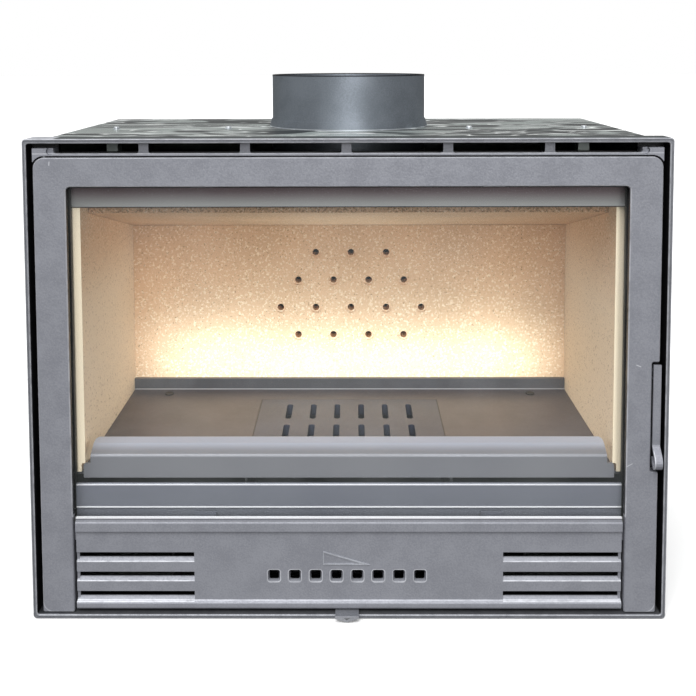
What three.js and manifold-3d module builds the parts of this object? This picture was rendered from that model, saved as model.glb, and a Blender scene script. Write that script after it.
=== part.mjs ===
// A steel and cast-iron fireplace insert: convection casing, lined firebox with a flue collar,
// cast front frame, and a hinged glass door with louvres, a slide register and a curled latch lever.
// Millimetres, +X to the viewer's right, +Y towards the back, +Z up.
// Places are worked out with Y = 0 on the front face of the frame's lip and Z = 0 on the hearth;
// the exported group is then moved so that the middle of its depth lies at Y = 0.
import * as THREE from "three";
import { mergeVertices } from "three/addons/utils/BufferGeometryUtils.js";
import Module from "manifold-3d";

const wasm = await Module();
wasm.setup();

// ---------------------------------------------------------------- driving dimensions
// Front frame
const frameWidth = 700;
const frameHeight = 534;
const lipSide = 4.2;
const lipTop = 5;
const lipBottom = 4.4;
const lipDepth = 24;
const lipCorner = 4;
const lipInnerCorner = 3;
const lipEdge = 0.8;
const lipGroove = 1.2;
const frontPlate = 6;
const flangeStep = 0.5; // the flange behind the lip stands this proud of the plate
const lipOver = 1; // how far the plate and the hinge pad run into the lip
const fit = 0.3; // clearance between pieces that only rest against each other
const past = 1; // how far a cutting tool runs past what it cuts

// Slot frieze over the door
const friezeRecess = 3.5;
const friezeLedge = 2.5;
const friezeLedgeDepth = 7;
const slotHeight = 11.2;
const slotRibs = 5;
const slotRowHalf = 317;
const slotRib = 10.5;
const slotRibPitch = 109.3;
const slotCentreX = -1;
const slotCorner = 3;
const cornerBlockTop = 5.5; // below the lip
const cornerPocketRadius = 4;
const cornerPocketDepth = 4;
const cornerPocketX = 19; // in from the door's edge
const cornerPocketDrop = 3.2; // below the block's top

// Door frame
const doorSideGap = 5.8;
const doorTopGap = 1.9;
const doorBottomGap = 0.8;
const doorRecess = 4;
const doorThickness = 14;
const doorCorner = 12;
const doorFootCorner = 2;
const doorEdge = 1;
const stileWidth = 35;
const topRail = 32;
const windowCorner = 4.5;
const crossBarTop = 104;
const crossBarHeight = 20;
const crossBarDepth = 5.7;
const crossBarLap = 2; // into the stiles

// Glass, its gasket and clips, and the rope seal
const glassThickness = 4;
const glassLap = 7;
const glassClear = 1; // round the glass in its rebate
const glassSink = 1; // behind the door's rear face
const glassFoot = 7; // how far the glass reaches below the window
const gasketThickness = 1.5;
const gasketWidth = 6;
const ropeWidth = 9.5;
const ropeDepth = 7.9;
const ropeInset = 11.5;
const ropeInsetTop = 9.5;
const ropeChannelDepth = 2.5;
const ropeLift = 3.5; // rope ring's foot above the cross bar's lower edge
const ropeEdge = 1.5;
const clipWidth = 24;
const clipThickness = 1.5;
const clipLap = 9;
const clipOffset = 160;

// Grille panel between the stiles
const grilleTop = 112;
const grilleLift = 2.7; // above the foot of the door's stiles
const grilleSideGap = 2.5;
const grilleFaceRecess = 7.5;
const grilleRear = 12;
const beadUpperHeight = 16;
const beadShoulder = 11.5; // height of the upper bead's front face
const beadLowerHeight = 10;
const beadNose = 3;
const beadChin = 0.75; // share of the lower bead's height where its front face ends
const louvreRows = 3;
const louvrePitch = 22.3;
const louvreHeight = 10.8;
const louvreTop = 72.3;
const louvreWidth = 128;
const louvreSideWall = 3;
const louvreRecess = 2;
const louvreCorner = 1.2;
const louvreSlatRise = 4.6;
const louvreSlatLip = 1.6;
const portCount = 8;
const portPitch = 23.2;
const portCentreX = -1.8;
const portCentreZ = 45.2;
const portFront = 13.9;
const portRear = 10.5;
const portCorner = 3;
const portOver = 0.5;

// Air register
const sliderThickness = 2;
const sliderHeight = 20;
const sliderEnd = 15; // beyond the middle of the outermost port
const sliderGap = 0.3;
const sliderPortOver = 1; // its holes are this much taller, above and below
const sliderPortCorner = 1;
const guideHeight = 4;
const guideDepth = 4;
const guideLap = 2;
const guideLip = 1.5;
const guideArmGap = 15;
const armThickness = 1.5;
const armLift = 0.9; // above the lip
const tabWidth = 26;
const tabReach = 8;
const tabSide = 2.5;
const tabHoleWidth = 7;
const tabHoleHeight = 2.4;
const tabHoleOver = 0.8; // how far the hole's top lies above the tab's shoulders
const tabFoot = 0.5;

// Latch lever on the right stile
const notchWidth = 8.4;
const notchBottom = 165;
const notchTop = 288;
const notchCorner = 2;
const leverWidth = 8.4;
const leverThickness = 3;
const leverFace = 6; // rear face of the lever's straight run
const leverSideGap = 1.6;
const leverHead = 11; // above the pivot
const pivotY = 9;
const pivotZ = 274;
const pivotRadius = 2.5;
const pivotLength = 23;
const hubRadius = 6;
const tongueReach = 11.2;
const tongueHeight = 5.5;
const tongueLand = 0.2;
const tongueBlend = 1;
const curlReach = 11.5;
// The curl's middle line: share of the reach, and height above the notch's foot.
const curlPath = [
  [0, 38],
  [0, 29],
  [0.3, 25],
  [0.75, 20.5],
  [1, 15],
  [0.97, 10.5],
  [0.75, 7.6],
  [0.4, 7.3],
  [0.1, 9.5],
  [-0.05, 13.5],
  [-0.08, 17],
];
const keeperThickness = 3.4;
const keeperHeight = 20;

// Door hinges
const hingeX = 11.5; // axis, in from the door's left edge
const hingeY = 5; // axis, back from the door's face
const hingePinRadius = 3;
const hingePinInDoor = 15;
const pinSteps = 20;
const hingePadWidth = 24;
const hingePadDepth = 20;
const hingePadRise = 0.5;
const hingePinFoot = 1.5;

// Firebox
const fireboxHalf = 298.5;
const sidePanelThickness = 20;
const sidePanelGap = 0.5; // from the steel behind it
const sidePanelFront = 36;
const sidePanelNotchWidth = 4.3; // cut out of the foot for the retainer's end
const sidePanelNotchHeight = 10;
const sidePanelNotchDepth = 12;
const sidePanelNotchCorner = 3.5;
const backFace = 300;
const backPanelThickness = 25;
const airBoxDepth = 18.4;
const airBoxWall = 1.5;
const airBoxHalf = 125;
const airBoxTop = 385;
const airBoxShoulder = 200;
const airDuctHalf = 58;
const plateSteel = 3;
const floorTop = 160;
const floorThickness = 8;
const floorFront = 38;
const baseTop = 104;
const baseThickness = 4;
const fireboxTopZ = 500;
const baffleFront = 72;
const baffleFrontZ = 442.6;
const baffleBackZ = 389.7;
const baffleThickness = 20;
const baffleStopTop = 459;
const kerbThickness = 6;
const kerbHeight = 15.5;
const headerBottom = 455;

// Holes in the back panel
const holeRadius = 4.65;
const holeRingRadius = 7.85;
const holeRingDepth = 1;
const holePitchX = 48.7;
const holePitchZ = 38.5;
const holeTopZ = 351.4;
const holeRows = [3, 4, 5, 4];
const holeShift = [2.5, 2.6, 2.4, 2.3];

// Opening in the front plate, sill bar and log retainer
const mouthSealMargin = 13; // from the rope ring's inner edge
const mouthBottom = 142;
const mouthTop = 478;
const mouthCorner = 3;
const sillSealMargin = 14; // from the rope ring's inner edge
const sillDepth = 3.6;
const sillBottom = 104;
const sillBand = 1.6; // how far the lower band lies behind the face
const sillBandSlope = 1.2;
const sillEdge = 3;
const sillStep = 117;
const sillTop = 145;
const retainerFront = 32;
const retainerBottom = 147;
const retainerShoulder = 173;
const retainerTop = 184;
const retainerRear = 62;
const retainerThickness = 5;
const retainerFaceSheet = 4.5;
const retainerFlange = 8.5; // on the floor plate
const retainerFlangeHeight = 4;
const retainerSlope = 3; // rise of the top before its rear lip
const retainerLip = 14;
const retainerEdge = 1;
const retainerSideGap = 7;
const retainerBackCorner = 9;
const retainerFootOver = 1; // past the side panels' faces
const retainerFootHeight = 16.5;
const retainerFootCorner = 3;

// Grate, ash pan and what carries them
const grateHalf = 117.5;
const grateFront = 89.4;
const grateRear = 252.4;
const grateThickness = 6;
const grateLedge = 5;
const grateRibDepth = 8;
const grateRibInset = 6;
const grateBarWall = 4;
const grateColumns = 6;
const gratePitch = 31.2;
const grateSlotWidth = 7.8;
const grateSlotLength = 52.5;
const grateSlotRound = 0.49; // share of the slot's width
const grateRowPitch = 72.8;
const ashWallInner = 115;
const ashWallRear = 330;
const ashPanHalf = 108;
const ashPanFront = 72;
const ashPanRear = 285;
const ashPanHeight = 36;
const ashPanSheet = 1.5;
const ashPanRim = 3;
const ledgeWidth = 31;
const ledgeDrop = 26;

// Casing
const jacketGap = 9.5; // between the firebox's sides and the casing
const casingSheet = 1.5;
const casingTopSheet = 2;
const casingTopDrop = 2;
const casingRear = 372;
const supportRailX = 200;
const supportRailFront = 42;
const airDuctBoxHalf = 98;
const airDuctBoxDepth = 80;
const airDuctBoxBottom = 28;
const airInletSide = 8;
const airInletFront = 10;
const airInletRear = 5;
const spacerInset = 60; // in from the firebox's sides
const spacerWidth = 12;
const spacerFront = 40;
const spacerDepth = 20;

// Flue collar
const flueY = 236;
const flueRadius = 98.5;
const flueWall = 3;
const flueTop = 598.4;
const flueRing = 4;
const flueRingTop = 1.2;
const flueRingHeight = 9.8;

// ---------------------------------------------------------------- places worked out from them
const frameHalf = frameWidth / 2;
const lipInnerHalf = frameHalf - lipSide;
const lipUnderside = frameHeight - lipTop;
const plateRear = lipDepth + frontPlate;
const doorHalf = lipInnerHalf - doorSideGap;
const doorBottom = lipBottom + doorBottomGap;
const ledgeTop = lipUnderside - slotHeight;
const ledgeBottom = ledgeTop - friezeLedge;
const doorTop = ledgeBottom - doorTopGap;
const doorRear = doorRecess + doorThickness;
const windowHalf = doorHalf - stileWidth;
const windowTop = doorTop - topRail;
const crossBarBottom = crossBarTop - crossBarHeight;
const grilleBottom = doorBottom + grilleLift;
const rebateFace = doorRear - glassSink - glassThickness - gasketThickness;
const glassFront = rebateFace + gasketThickness;
const glassHalf = windowHalf + glassLap;
const glassBottom = grilleTop - glassFoot;
const glassTop = windowTop + glassLap;
const gasketFoot = crossBarTop + glassClear;
const ropeFront = doorRear - ropeChannelDepth;
const ropeOuterHalf = doorHalf - ropeInset;
const ropeInnerHalf = ropeOuterHalf - ropeWidth;
const mouthHalf = ropeInnerHalf - mouthSealMargin;
const sillHalf = ropeInnerHalf - sillSealMargin;
const ropeOuterTop = doorTop - ropeInsetTop;
const ropeOuterBottom = crossBarBottom + ropeLift;
const grilleHalf = windowHalf - grilleSideGap;
const louvreOuter = grilleHalf - louvreSideWall;
const louvreInner = louvreOuter - louvreWidth;
const sideSteelInner = fireboxHalf + sidePanelThickness + sidePanelGap;
const sideSteelOuter = sideSteelInner + plateSteel;
const casingHalf = sideSteelOuter + jacketGap + casingSheet;
const spacerX = sideSteelOuter - spacerInset;
const backSteelFront = backFace + backPanelThickness + airBoxDepth + 2 * fit;
const backSteelRear = backSteelFront + plateSteel;
const floorBottom = floorTop - floorThickness;
const baffleSlope = (baffleFrontZ - baffleBackZ) / (backFace - baffleFront);
const baffleUnder = (y) => baffleFrontZ - baffleSlope * (y - baffleFront);
const casingTopZ = frameHeight - casingTopDrop;
const casingTopUnder = casingTopZ - casingTopSheet;
const airRowHalf = ((portCount - 1) * portPitch) / 2;
const sliderFront = grilleRear + sliderGap;
const sliderRear = sliderFront + sliderThickness;
const sliderHalf = airRowHalf + sliderEnd;
const armBottom = lipBottom + armLift;
const armTop = armBottom + armThickness;
const leverLeft = doorHalf - notchWidth + leverSideGap;
const leverRight = leverLeft + leverWidth;
const hingeAxisX = -(doorHalf - hingeX);
const hingeAxisY = doorRecess + hingeY;
const frontmost = leverFace - leverThickness / 2 - curlReach - leverThickness / 2;
const depthMiddle = (frontmost + casingRear) / 2;

// ---------------------------------------------------------------- shape helpers
const arcSteps = 6;
const arcShare = 0.48; // the most of an edge that one rounded corner may take
const holeSteps = 14;
const circleSteps = 16;
const hubSteps = 24;
const curlSteps = 22;
const turnedSteps = 48;
const flueSteps = 64;

// A closed three.js geometry as a solid for joining and cutting.
function solid(geometry) {
  const bare = geometry.index ? geometry.toNonIndexed() : geometry.clone();
  bare.deleteAttribute("normal");
  bare.deleteAttribute("uv");
  const merged = mergeVertices(bare, 1e-4);
  const corners = merged.index.array;
  const triangles = [];
  for (let i = 0; i < corners.length; i += 3) {
    const [a, b, c] = [corners[i], corners[i + 1], corners[i + 2]];
    if (a !== b && b !== c && c !== a) triangles.push(a, b, c);
  }
  return new wasm.Manifold(
    new wasm.Mesh({
      numProp: 3,
      vertProperties: merged.attributes.position.array,
      triVerts: new Uint32Array(triangles),
    }),
  );
}

// A solid back as a three.js geometry.
function geometryOf(shape) {
  const mesh = shape.getMesh();
  const geometry = new THREE.BufferGeometry();
  geometry.setAttribute("position", new THREE.BufferAttribute(mesh.vertProperties, 3));
  geometry.setIndex(new THREE.BufferAttribute(mesh.triVerts, 1));
  geometry.computeVertexNormals();
  return geometry;
}

function join(...shapes) {
  return shapes.reduce((all, shape) => all.add(shape));
}

function cut(shape, ...tools) {
  return tools.reduce((rest, tool) => rest.subtract(tool), shape);
}

// A box between two corners.
function block([x0, x1], [y0, y1], [z0, z1]) {
  const geometry = new THREE.BoxGeometry(x1 - x0, y1 - y0, z1 - z0);
  geometry.translate((x0 + x1) / 2, (y0 + y1) / 2, (z0 + z1) / 2);
  return solid(geometry);
}

// A closed outline from corner points; a third number rounds that corner.
function outline(points) {
  const shape = new THREE.Shape();
  const count = points.length;
  const place = (x, y, first) => {
    if (first) shape.moveTo(x, y);
    else shape.lineTo(x, y);
  };
  points.forEach(([x, y, radius = 0], i) => {
    const [px, py] = points[(i + count - 1) % count];
    const [nx, ny] = points[(i + 1) % count];
    const before = Math.hypot(px - x, py - y);
    const after = Math.hypot(nx - x, ny - y);
    const corner = new THREE.Vector2(x, y);
    if (radius > 0) {
      const u = new THREE.Vector2(px - x, py - y).divideScalar(before);
      const v = new THREE.Vector2(nx - x, ny - y).divideScalar(after);
      const half = Math.acos(THREE.MathUtils.clamp(u.dot(v), -1, 1)) / 2;
      const setback = Math.min(radius / Math.tan(half), before * arcShare, after * arcShare);
      const bend = setback * Math.tan(half);
      const middle = corner.clone().addScaledVector(u.clone().add(v).normalize(), bend / Math.sin(half));
      const start = corner.clone().addScaledVector(u, setback).sub(middle);
      const turn = Math.sign(u.x * v.y - u.y * v.x);
      const sweep = Math.PI - 2 * half;
      for (let k = 0; k <= arcSteps; k += 1) {
        const angle = start.angle() - (turn * sweep * k) / arcSteps;
        place(middle.x + bend * Math.cos(angle), middle.y + bend * Math.sin(angle), i === 0 && k === 0);
      }
    } else {
      place(x, y, i === 0);
    }
  });
  shape.closePath();
  return shape;
}

// A rectangle; radii run from lower left, lower right, upper right to upper left.
function rectangle([x0, x1], [y0, y1], radii = 0) {
  const r = Array.isArray(radii) ? radii : [radii, radii, radii, radii];
  return outline([
    [x0, y0, r[0]],
    [x1, y0, r[1]],
    [x1, y1, r[2]],
    [x0, y1, r[3]],
  ]);
}

function circle(x, y, radius, steps = circleSteps) {
  const points = [];
  for (let k = 0; k < steps; k += 1) {
    const angle = (2 * Math.PI * k) / steps;
    points.push([x + radius * Math.cos(angle), y + radius * Math.sin(angle)]);
  }
  return outline(points);
}

// bevel rounds the edges off by that much without growing the shape.
function extrude(shape, depth, bevel = 0) {
  return new THREE.ExtrudeGeometry(shape, {
    depth: depth - 2 * bevel,
    steps: 1,
    curveSegments: arcSteps,
    bevelEnabled: bevel > 0,
    bevelThickness: bevel,
    bevelSize: bevel,
    bevelOffset: -bevel,
    bevelSegments: 1,
  }).translate(0, 0, bevel);
}

// An outline drawn as seen from the front, in X and Z, made solid from y0 to y1.
function frontPiece(shape, [y0, y1], bevel = 0) {
  return solid(extrude(shape, y1 - y0, bevel).rotateX(Math.PI / 2).translate(0, y1, 0));
}

// An outline drawn from above, in X and Y, made solid from z0 to z1.
function flatPiece(shape, [z0, z1], bevel = 0) {
  return solid(extrude(shape, z1 - z0, bevel).translate(0, 0, z0));
}

// A section drawn in Y and Z, run along X from x0 to x1.
const alongX = new THREE.Matrix4().makeBasis(
  new THREE.Vector3(0, 1, 0),
  new THREE.Vector3(0, 0, 1),
  new THREE.Vector3(1, 0, 0),
);
function sectionPiece(shape, [x0, x1], bevel = 0) {
  return solid(extrude(shape, x1 - x0, bevel).applyMatrix4(alongX).translate(x0, 0, 0));
}

// A tube or rod turned about a vertical axis; outerTop tapers it.
function turned(x, y, [z0, z1], outer, inner = 0, steps = turnedSteps, outerTop = outer) {
  const corners = [
    [inner, z0],
    [outer, z0],
    [outerTop, z1],
    [inner, z1],
  ];
  if (inner > 0) corners.push([inner, z0]);
  const profile = corners.map(([r, z]) => new THREE.Vector2(r, z));
  return solid(new THREE.LatheGeometry(profile, steps).rotateX(Math.PI / 2).translate(x, y, 0));
}

// A rod on the door's hinge axis.
function hingeRod(height, radius) {
  return turned(hingeAxisX, hingeAxisY, height, radius, 0, pinSteps);
}

// An outline with another one cut out of it.
function ring(outer, inner) {
  outer.holes.push(new THREE.Path(inner.getPoints(arcSteps)));
  return outer;
}

// ---------------------------------------------------------------- finishes
function finish(color, roughness, metalness, opacity = 1) {
  return new THREE.MeshStandardMaterial({ color, roughness, metalness, opacity, transparent: opacity < 1 });
}
const castPaint = finish(0x8b8d94, 0.55, 0.35);
const sheetPaint = finish(0x5d625f, 0.35, 0.4);
const fluePaint = finish(0x55585c, 0.6, 0.3);
const rawSteel = finish(0x7d8288, 0.45, 0.7);
const fireClay = finish(0xc9b08d, 0.95, 0);
const floorIron = finish(0x6f665f, 0.7, 0.3);
const ceramicGlass = finish(0xe8eef0, 0.05, 0, 0.15);
const sealRope = finish(0x3a3a3a, 0.95, 0);

const insert = new THREE.Group();
insert.position.set(0, -depthMiddle, 0);

function add(parent, name, shape, material) {
  const mesh = new THREE.Mesh(geometryOf(shape), material);
  mesh.name = name;
  parent.add(mesh);
}

const sides = [
  ["left", -1],
  ["right", 1],
];
// An X span mirrored to the chosen side.
const span = (side, a, b) => (side < 0 ? [-b, -a] : [a, b]);

// ---------------------------------------------------------------- front frame and frieze
function frontFrame() {
  const outer = rectangle([-frameHalf, frameHalf], [0, frameHeight], lipCorner);
  const inner = rectangle([-lipInnerHalf, lipInnerHalf], [lipBottom, lipUnderside], lipInnerCorner);
  const flangeRear = plateRear + flangeStep;
  const lip = frontPiece(ring(outer, inner), [0, flangeRear], lipEdge);
  const plate = frontPiece(
    rectangle(
      [-lipInnerHalf - lipOver, lipInnerHalf + lipOver],
      [lipBottom - lipOver, lipUnderside + lipOver],
    ),
    [lipDepth, flangeRear],
  );
  // The casing's front edge sits in this recess.
  const casingSeat = block(
    [-casingHalf - fit, casingHalf + fit],
    [plateRear, flangeRear + past],
    [-past, casingTopZ + fit],
  );
  const hingePad = block(
    [-lipInnerHalf - lipOver, hingePadWidth - lipInnerHalf],
    [lipEdge, hingePadDepth],
    [lipBottom - lipOver, lipBottom + hingePadRise],
  );
  const through = [lipDepth - past, plateRear + past];
  const mouth = frontPiece(rectangle([-mouthHalf, mouthHalf], [mouthBottom, mouthTop], mouthCorner), through);
  const airOut = block([-slotRowHalf, slotRowHalf], through, [ledgeTop, lipUnderside]);
  const primaryIn = block(
    [portCentreX - airRowHalf - portRear, portCentreX + airRowHalf + portRear],
    through,
    [portCentreZ - portRear, portCentreZ + portRear],
  );
  const louvreFoot = louvreTop - (louvreRows - 1) * louvrePitch - louvreHeight;
  const airIn = sides.map(([, side]) =>
    block(span(side, louvreInner, louvreOuter), through, [louvreFoot, louvreTop]),
  );
  const grooveMiddle = lipSide / 2;
  const groove = frontPiece(
    ring(
      rectangle(
        [-frameHalf + grooveMiddle - lipGroove / 2, frameHalf - grooveMiddle + lipGroove / 2],
        [lipBottom / 2 - lipGroove / 2, frameHeight - lipTop / 2 + lipGroove / 2],
        lipCorner - grooveMiddle,
      ),
      rectangle(
        [-frameHalf + grooveMiddle + lipGroove / 2, frameHalf - grooveMiddle - lipGroove / 2],
        [lipBottom / 2 + lipGroove / 2, frameHeight - lipTop / 2 - lipGroove / 2],
        lipCorner - grooveMiddle - lipGroove / 2,
      ),
    ),
    [-past, lipEdge],
  );
  const pinSeat = hingeRod([hingePinFoot, doorBottom], hingePinRadius + fit);
  return cut(join(lip, plate, hingePad), casingSeat, mouth, airOut, primaryIn, ...airIn, groove, pinSeat);
}

// The X spans of the warm-air slots, from left to right.
function slotSpans() {
  const firstRib = slotCentreX - ((slotRibs - 1) / 2) * slotRibPitch;
  const ribs = Array.from({ length: slotRibs }, (_, i) => firstRib + i * slotRibPitch);
  const starts = [-slotRowHalf, ...ribs.map((x) => x + slotRib / 2)];
  const ends = [...ribs.map((x) => x - slotRib / 2), slotRowHalf];
  return starts.map((start, i) => [start, ends[i]]);
}

function slotFrieze() {
  const top = lipUnderside - fit;
  const blockTop = lipUnderside - cornerBlockTop;
  const body = frontPiece(
    rectangle([-doorHalf, doorHalf], [doorTop - doorCorner, top]),
    [friezeRecess, lipDepth],
  );
  // The under side follows the door's rounded top corners at an even gap.
  const under = frontPiece(
    rectangle(
      [-doorHalf - doorTopGap, doorHalf + doorTopGap],
      [doorBottom, ledgeBottom],
      [0, 0, doorCorner + doorTopGap, doorCorner + doorTopGap],
    ),
    [friezeRecess - past, lipDepth + past],
  );
  const through = [friezeRecess - past, lipDepth + past];
  const ends = sides.map(([, side]) =>
    block(span(side, slotRowHalf, doorHalf + past), through, [blockTop, top + past]),
  );
  const slots = slotSpans().map((width) =>
    frontPiece(rectangle(width, [ledgeTop, top + past], [slotCorner, slotCorner, 0, 0]), through),
  );
  // Behind the shallow ledge the slots are open downwards.
  const openBehind = slotSpans().map((width) =>
    block(
      width,
      [friezeRecess + friezeLedgeDepth, lipDepth + past],
      [ledgeBottom - past, ledgeTop + slotCorner],
    ),
  );
  const pockets = sides.map(([, side]) =>
    frontPiece(
      circle(side * (doorHalf - cornerPocketX), blockTop - cornerPocketDrop, cornerPocketRadius, holeSteps),
      [friezeRecess - past, friezeRecess + cornerPocketDepth],
    ),
  );
  const pinSeat = hingeRod([doorTop - doorCorner, blockTop + past], hingePinRadius + fit);
  return cut(body, under, ...ends, ...slots, ...openBehind, ...pockets, pinSeat);
}

// ---------------------------------------------------------------- door
function doorFrame() {
  const r = doorFootCorner;
  const arch = outline([
    [-doorHalf, doorBottom, r],
    [-windowHalf, doorBottom, r],
    [-windowHalf, windowTop, windowCorner],
    [windowHalf, windowTop, windowCorner],
    [windowHalf, doorBottom, r],
    [doorHalf, doorBottom, r],
    [doorHalf, notchBottom, notchCorner],
    [doorHalf - notchWidth, notchBottom, notchCorner],
    [doorHalf - notchWidth, notchTop, notchCorner],
    [doorHalf, notchTop, notchCorner],
    [doorHalf, doorTop, doorCorner],
    [-doorHalf, doorTop, doorCorner],
  ]);
  const casting = frontPiece(arch, [doorRecess, doorRear], doorEdge);
  const crossBar = block(
    [-windowHalf - crossBarLap, windowHalf + crossBarLap],
    [doorRear - crossBarDepth, doorRear],
    [crossBarBottom, crossBarTop],
  );
  const rebate = frontPiece(
    rectangle(
      [-glassHalf - glassClear, glassHalf + glassClear],
      [crossBarTop, glassTop + glassClear],
      windowCorner / 2,
    ),
    [rebateFace, doorRear + past],
  );
  const channel = frontPiece(ropeOutline(fit), [ropeFront, doorRear + past]);
  const bore = hingePinRadius + fit;
  const pinBores = [
    hingeRod([doorTop - hingePinInDoor - past, doorTop + past], bore),
    hingeRod([doorBottom - past, doorBottom + hingePinInDoor + past], bore),
  ];
  const pivotBore = sectionPiece(
    circle(pivotY, pivotZ, pivotRadius + fit),
    [leverRight - pivotLength - fit, doorHalf - notchWidth + past],
  );
  return cut(join(casting, crossBar), rebate, channel, ...pinBores, pivotBore);
}

function ropeOutline(grow) {
  const w = ropeWidth;
  return ring(
    rectangle(
      [-ropeOuterHalf - grow, ropeOuterHalf + grow],
      [ropeOuterBottom - grow, ropeOuterTop + grow],
      ropeWidth,
    ),
    rectangle(
      [-ropeOuterHalf + w + grow, ropeOuterHalf - w - grow],
      [ropeOuterBottom + w + grow, ropeOuterTop - w - grow],
      ropeWidth / 4,
    ),
  );
}

function grillePanel() {
  const face = grilleFaceRecess;
  const nose = face - beadNose;
  const upperFoot = grilleTop - beadUpperHeight;
  const sheet = block([-grilleHalf, grilleHalf], [face, grilleRear], [grilleBottom, grilleTop]);
  const upperBead = outline([
    [grilleRear, upperFoot],
    [grilleRear, grilleTop],
    [nose, upperFoot + beadShoulder, beadNose],
    [nose, upperFoot, beadNose / 2],
  ]);
  const lowerBead = outline([
    [grilleRear, grilleBottom],
    [grilleRear, grilleBottom + beadLowerHeight],
    [face, grilleBottom + beadLowerHeight],
    [nose, grilleBottom + beadChin * beadLowerHeight, beadNose],
    [nose, grilleBottom, beadNose],
  ]);
  let panel = join(
    sheet,
    sectionPiece(upperBead, [-grilleHalf, grilleHalf]),
    sectionPiece(lowerBead, [-grilleHalf, grilleHalf]),
  );
  for (const [, side] of sides) {
    for (let row = 0; row < louvreRows; row += 1) {
      panel = louvre(panel, side, louvreTop - row * louvrePitch);
    }
  }
  for (let i = 0; i < portCount; i += 1) {
    const x = portCentreX - airRowHalf + i * portPitch;
    panel = panel.subtract(draftedPort(x, face, grilleRear));
  }
  // A step along the top of the back clears the gasket and the foot of the glass.
  const step = block([-frameHalf, frameHalf], [rebateFace - fit, plateRear], [crossBarTop, frameHeight]);
  return cut(panel, step);
}

// Cuts one louvre: a through slot in a shallow recess that runs out at the panel's edge, with a slat
// that rises backwards from the slot's front lower edge.
function louvre(panel, side, top) {
  const face = grilleFaceRecess;
  const foot = top - louvreHeight;
  const width = span(side, louvreInner, louvreOuter);
  const ahead = face - beadNose - past;
  const slot = frontPiece(rectangle(width, [foot, top], louvreCorner), [ahead, grilleRear + past]);
  const recess = sectionPiece(
    outline([
      [ahead, foot],
      [face, foot],
      [face + louvreRecess, foot + louvreRecess],
      [face + louvreRecess, top],
      [ahead, top],
    ]),
    span(side, louvreInner, grilleHalf + past),
  );
  const slat = sectionPiece(
    outline([
      [face, foot],
      [grilleRear, foot],
      [grilleRear, foot + louvreSlatRise],
      [grilleRear - louvreSlatLip, foot + louvreSlatRise],
    ]),
    width,
  );
  return panel.subtract(slot).subtract(recess).add(slat);
}

// A square port that narrows towards the back, with rounded corners.
function draftedPort(x, y0, y1) {
  const over = portOver;
  const grow = ((portFront - portRear) / 2) * (over / (y1 - y0));
  const half = portFront / 2 + grow;
  const depth = y1 - y0 + 2 * over;
  const geometry = extrude(rectangle([-half, half], [-half, half], portCorner), depth);
  const scaleRear = (portRear / 2 - grow) / half;
  const position = geometry.attributes.position;
  for (let i = 0; i < position.count; i += 1) {
    // z = 0 lies at the back once the outline is turned to face the front
    const k = THREE.MathUtils.lerp(scaleRear, 1, position.getZ(i) / depth);
    position.setX(i, position.getX(i) * k);
    position.setY(i, position.getY(i) * k);
  }
  return solid(geometry.rotateX(Math.PI / 2).translate(x, y1 + over, portCentreZ));
}

// ---------------------------------------------------------------- air register
function airSlider() {
  const half = sliderHeight / 2;
  const strip = block(
    [portCentreX - sliderHalf, portCentreX + sliderHalf],
    [sliderFront, sliderRear],
    [portCentreZ - half, portCentreZ + half],
  );
  const holes = Array.from({ length: portCount }, (_, i) => {
    const x = portCentreX - airRowHalf + i * portPitch;
    return frontPiece(
      rectangle(
        [x - portRear / 2, x + portRear / 2],
        [portCentreZ - portRear / 2 - sliderPortOver, portCentreZ + portRear / 2 + sliderPortOver],
        sliderPortCorner,
      ),
      [sliderFront - past, sliderRear + past],
    );
  });
  const arm = [portCentreX - tabWidth / 2, portCentreX + tabWidth / 2];
  const armRear = sliderFront + armThickness;
  const drop = block(arm, [sliderFront, armRear], [armBottom, portCentreZ - half + past]);
  const reach = block(arm, [-tabReach + armThickness, armRear], [armBottom, armTop]);
  return join(cut(strip, ...holes), drop, reach);
}

// The pointed tab on the arm's front end, which is pushed sideways to set the air.
function sliderTab() {
  const left = portCentreX - tabWidth / 2;
  const right = portCentreX + tabWidth / 2;
  const shoulder = armTop - tabSide;
  const plate = outline([
    [left, armTop],
    [left, shoulder],
    [portCentreX, tabFoot],
    [right, shoulder],
    [right, armTop],
  ]);
  const holeTop = shoulder + tabHoleOver;
  const hole = outline([
    [portCentreX - tabHoleWidth / 2, holeTop],
    [portCentreX, holeTop - tabHoleHeight],
    [portCentreX + tabHoleWidth / 2, holeTop],
  ]);
  return cut(
    frontPiece(plate, [-tabReach, -tabReach + armThickness]),
    frontPiece(hole, [-tabReach - past, -tabReach + armThickness + past]),
  );
}

// One run of register guide: a block on the grille panel's back whose lip laps the slider.
function guideRun([x0, x1], above) {
  const edge = portCentreZ + (above ? 1 : -1) * (sliderHeight / 2 + fit);
  const away = edge + (above ? guideHeight : -guideHeight);
  const lap = edge - (above ? guideLap : -guideLap);
  const rear = sliderRear + fit + guideLip;
  const low = Math.min(edge, away);
  const rail = block([x0, x1], [grilleRear, rear], [low, low + guideHeight]);
  const lipLow = Math.min(edge, lap);
  const lip = block([x0, x1], [rear - guideLip, rear], [lipLow - fit, lipLow + guideLap + fit]);
  return join(rail, lip);
}

// ---------------------------------------------------------------- latch lever
// The strap's middle line in Y and Z, from the hub down to the curl.
function leverLine() {
  const y = leverFace - leverThickness / 2;
  return new THREE.CatmullRomCurve3(
    curlPath.map(([share, height]) => new THREE.Vector3(y - share * curlReach, notchBottom + height, 0)),
    false,
    "centripetal",
  );
}

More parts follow.
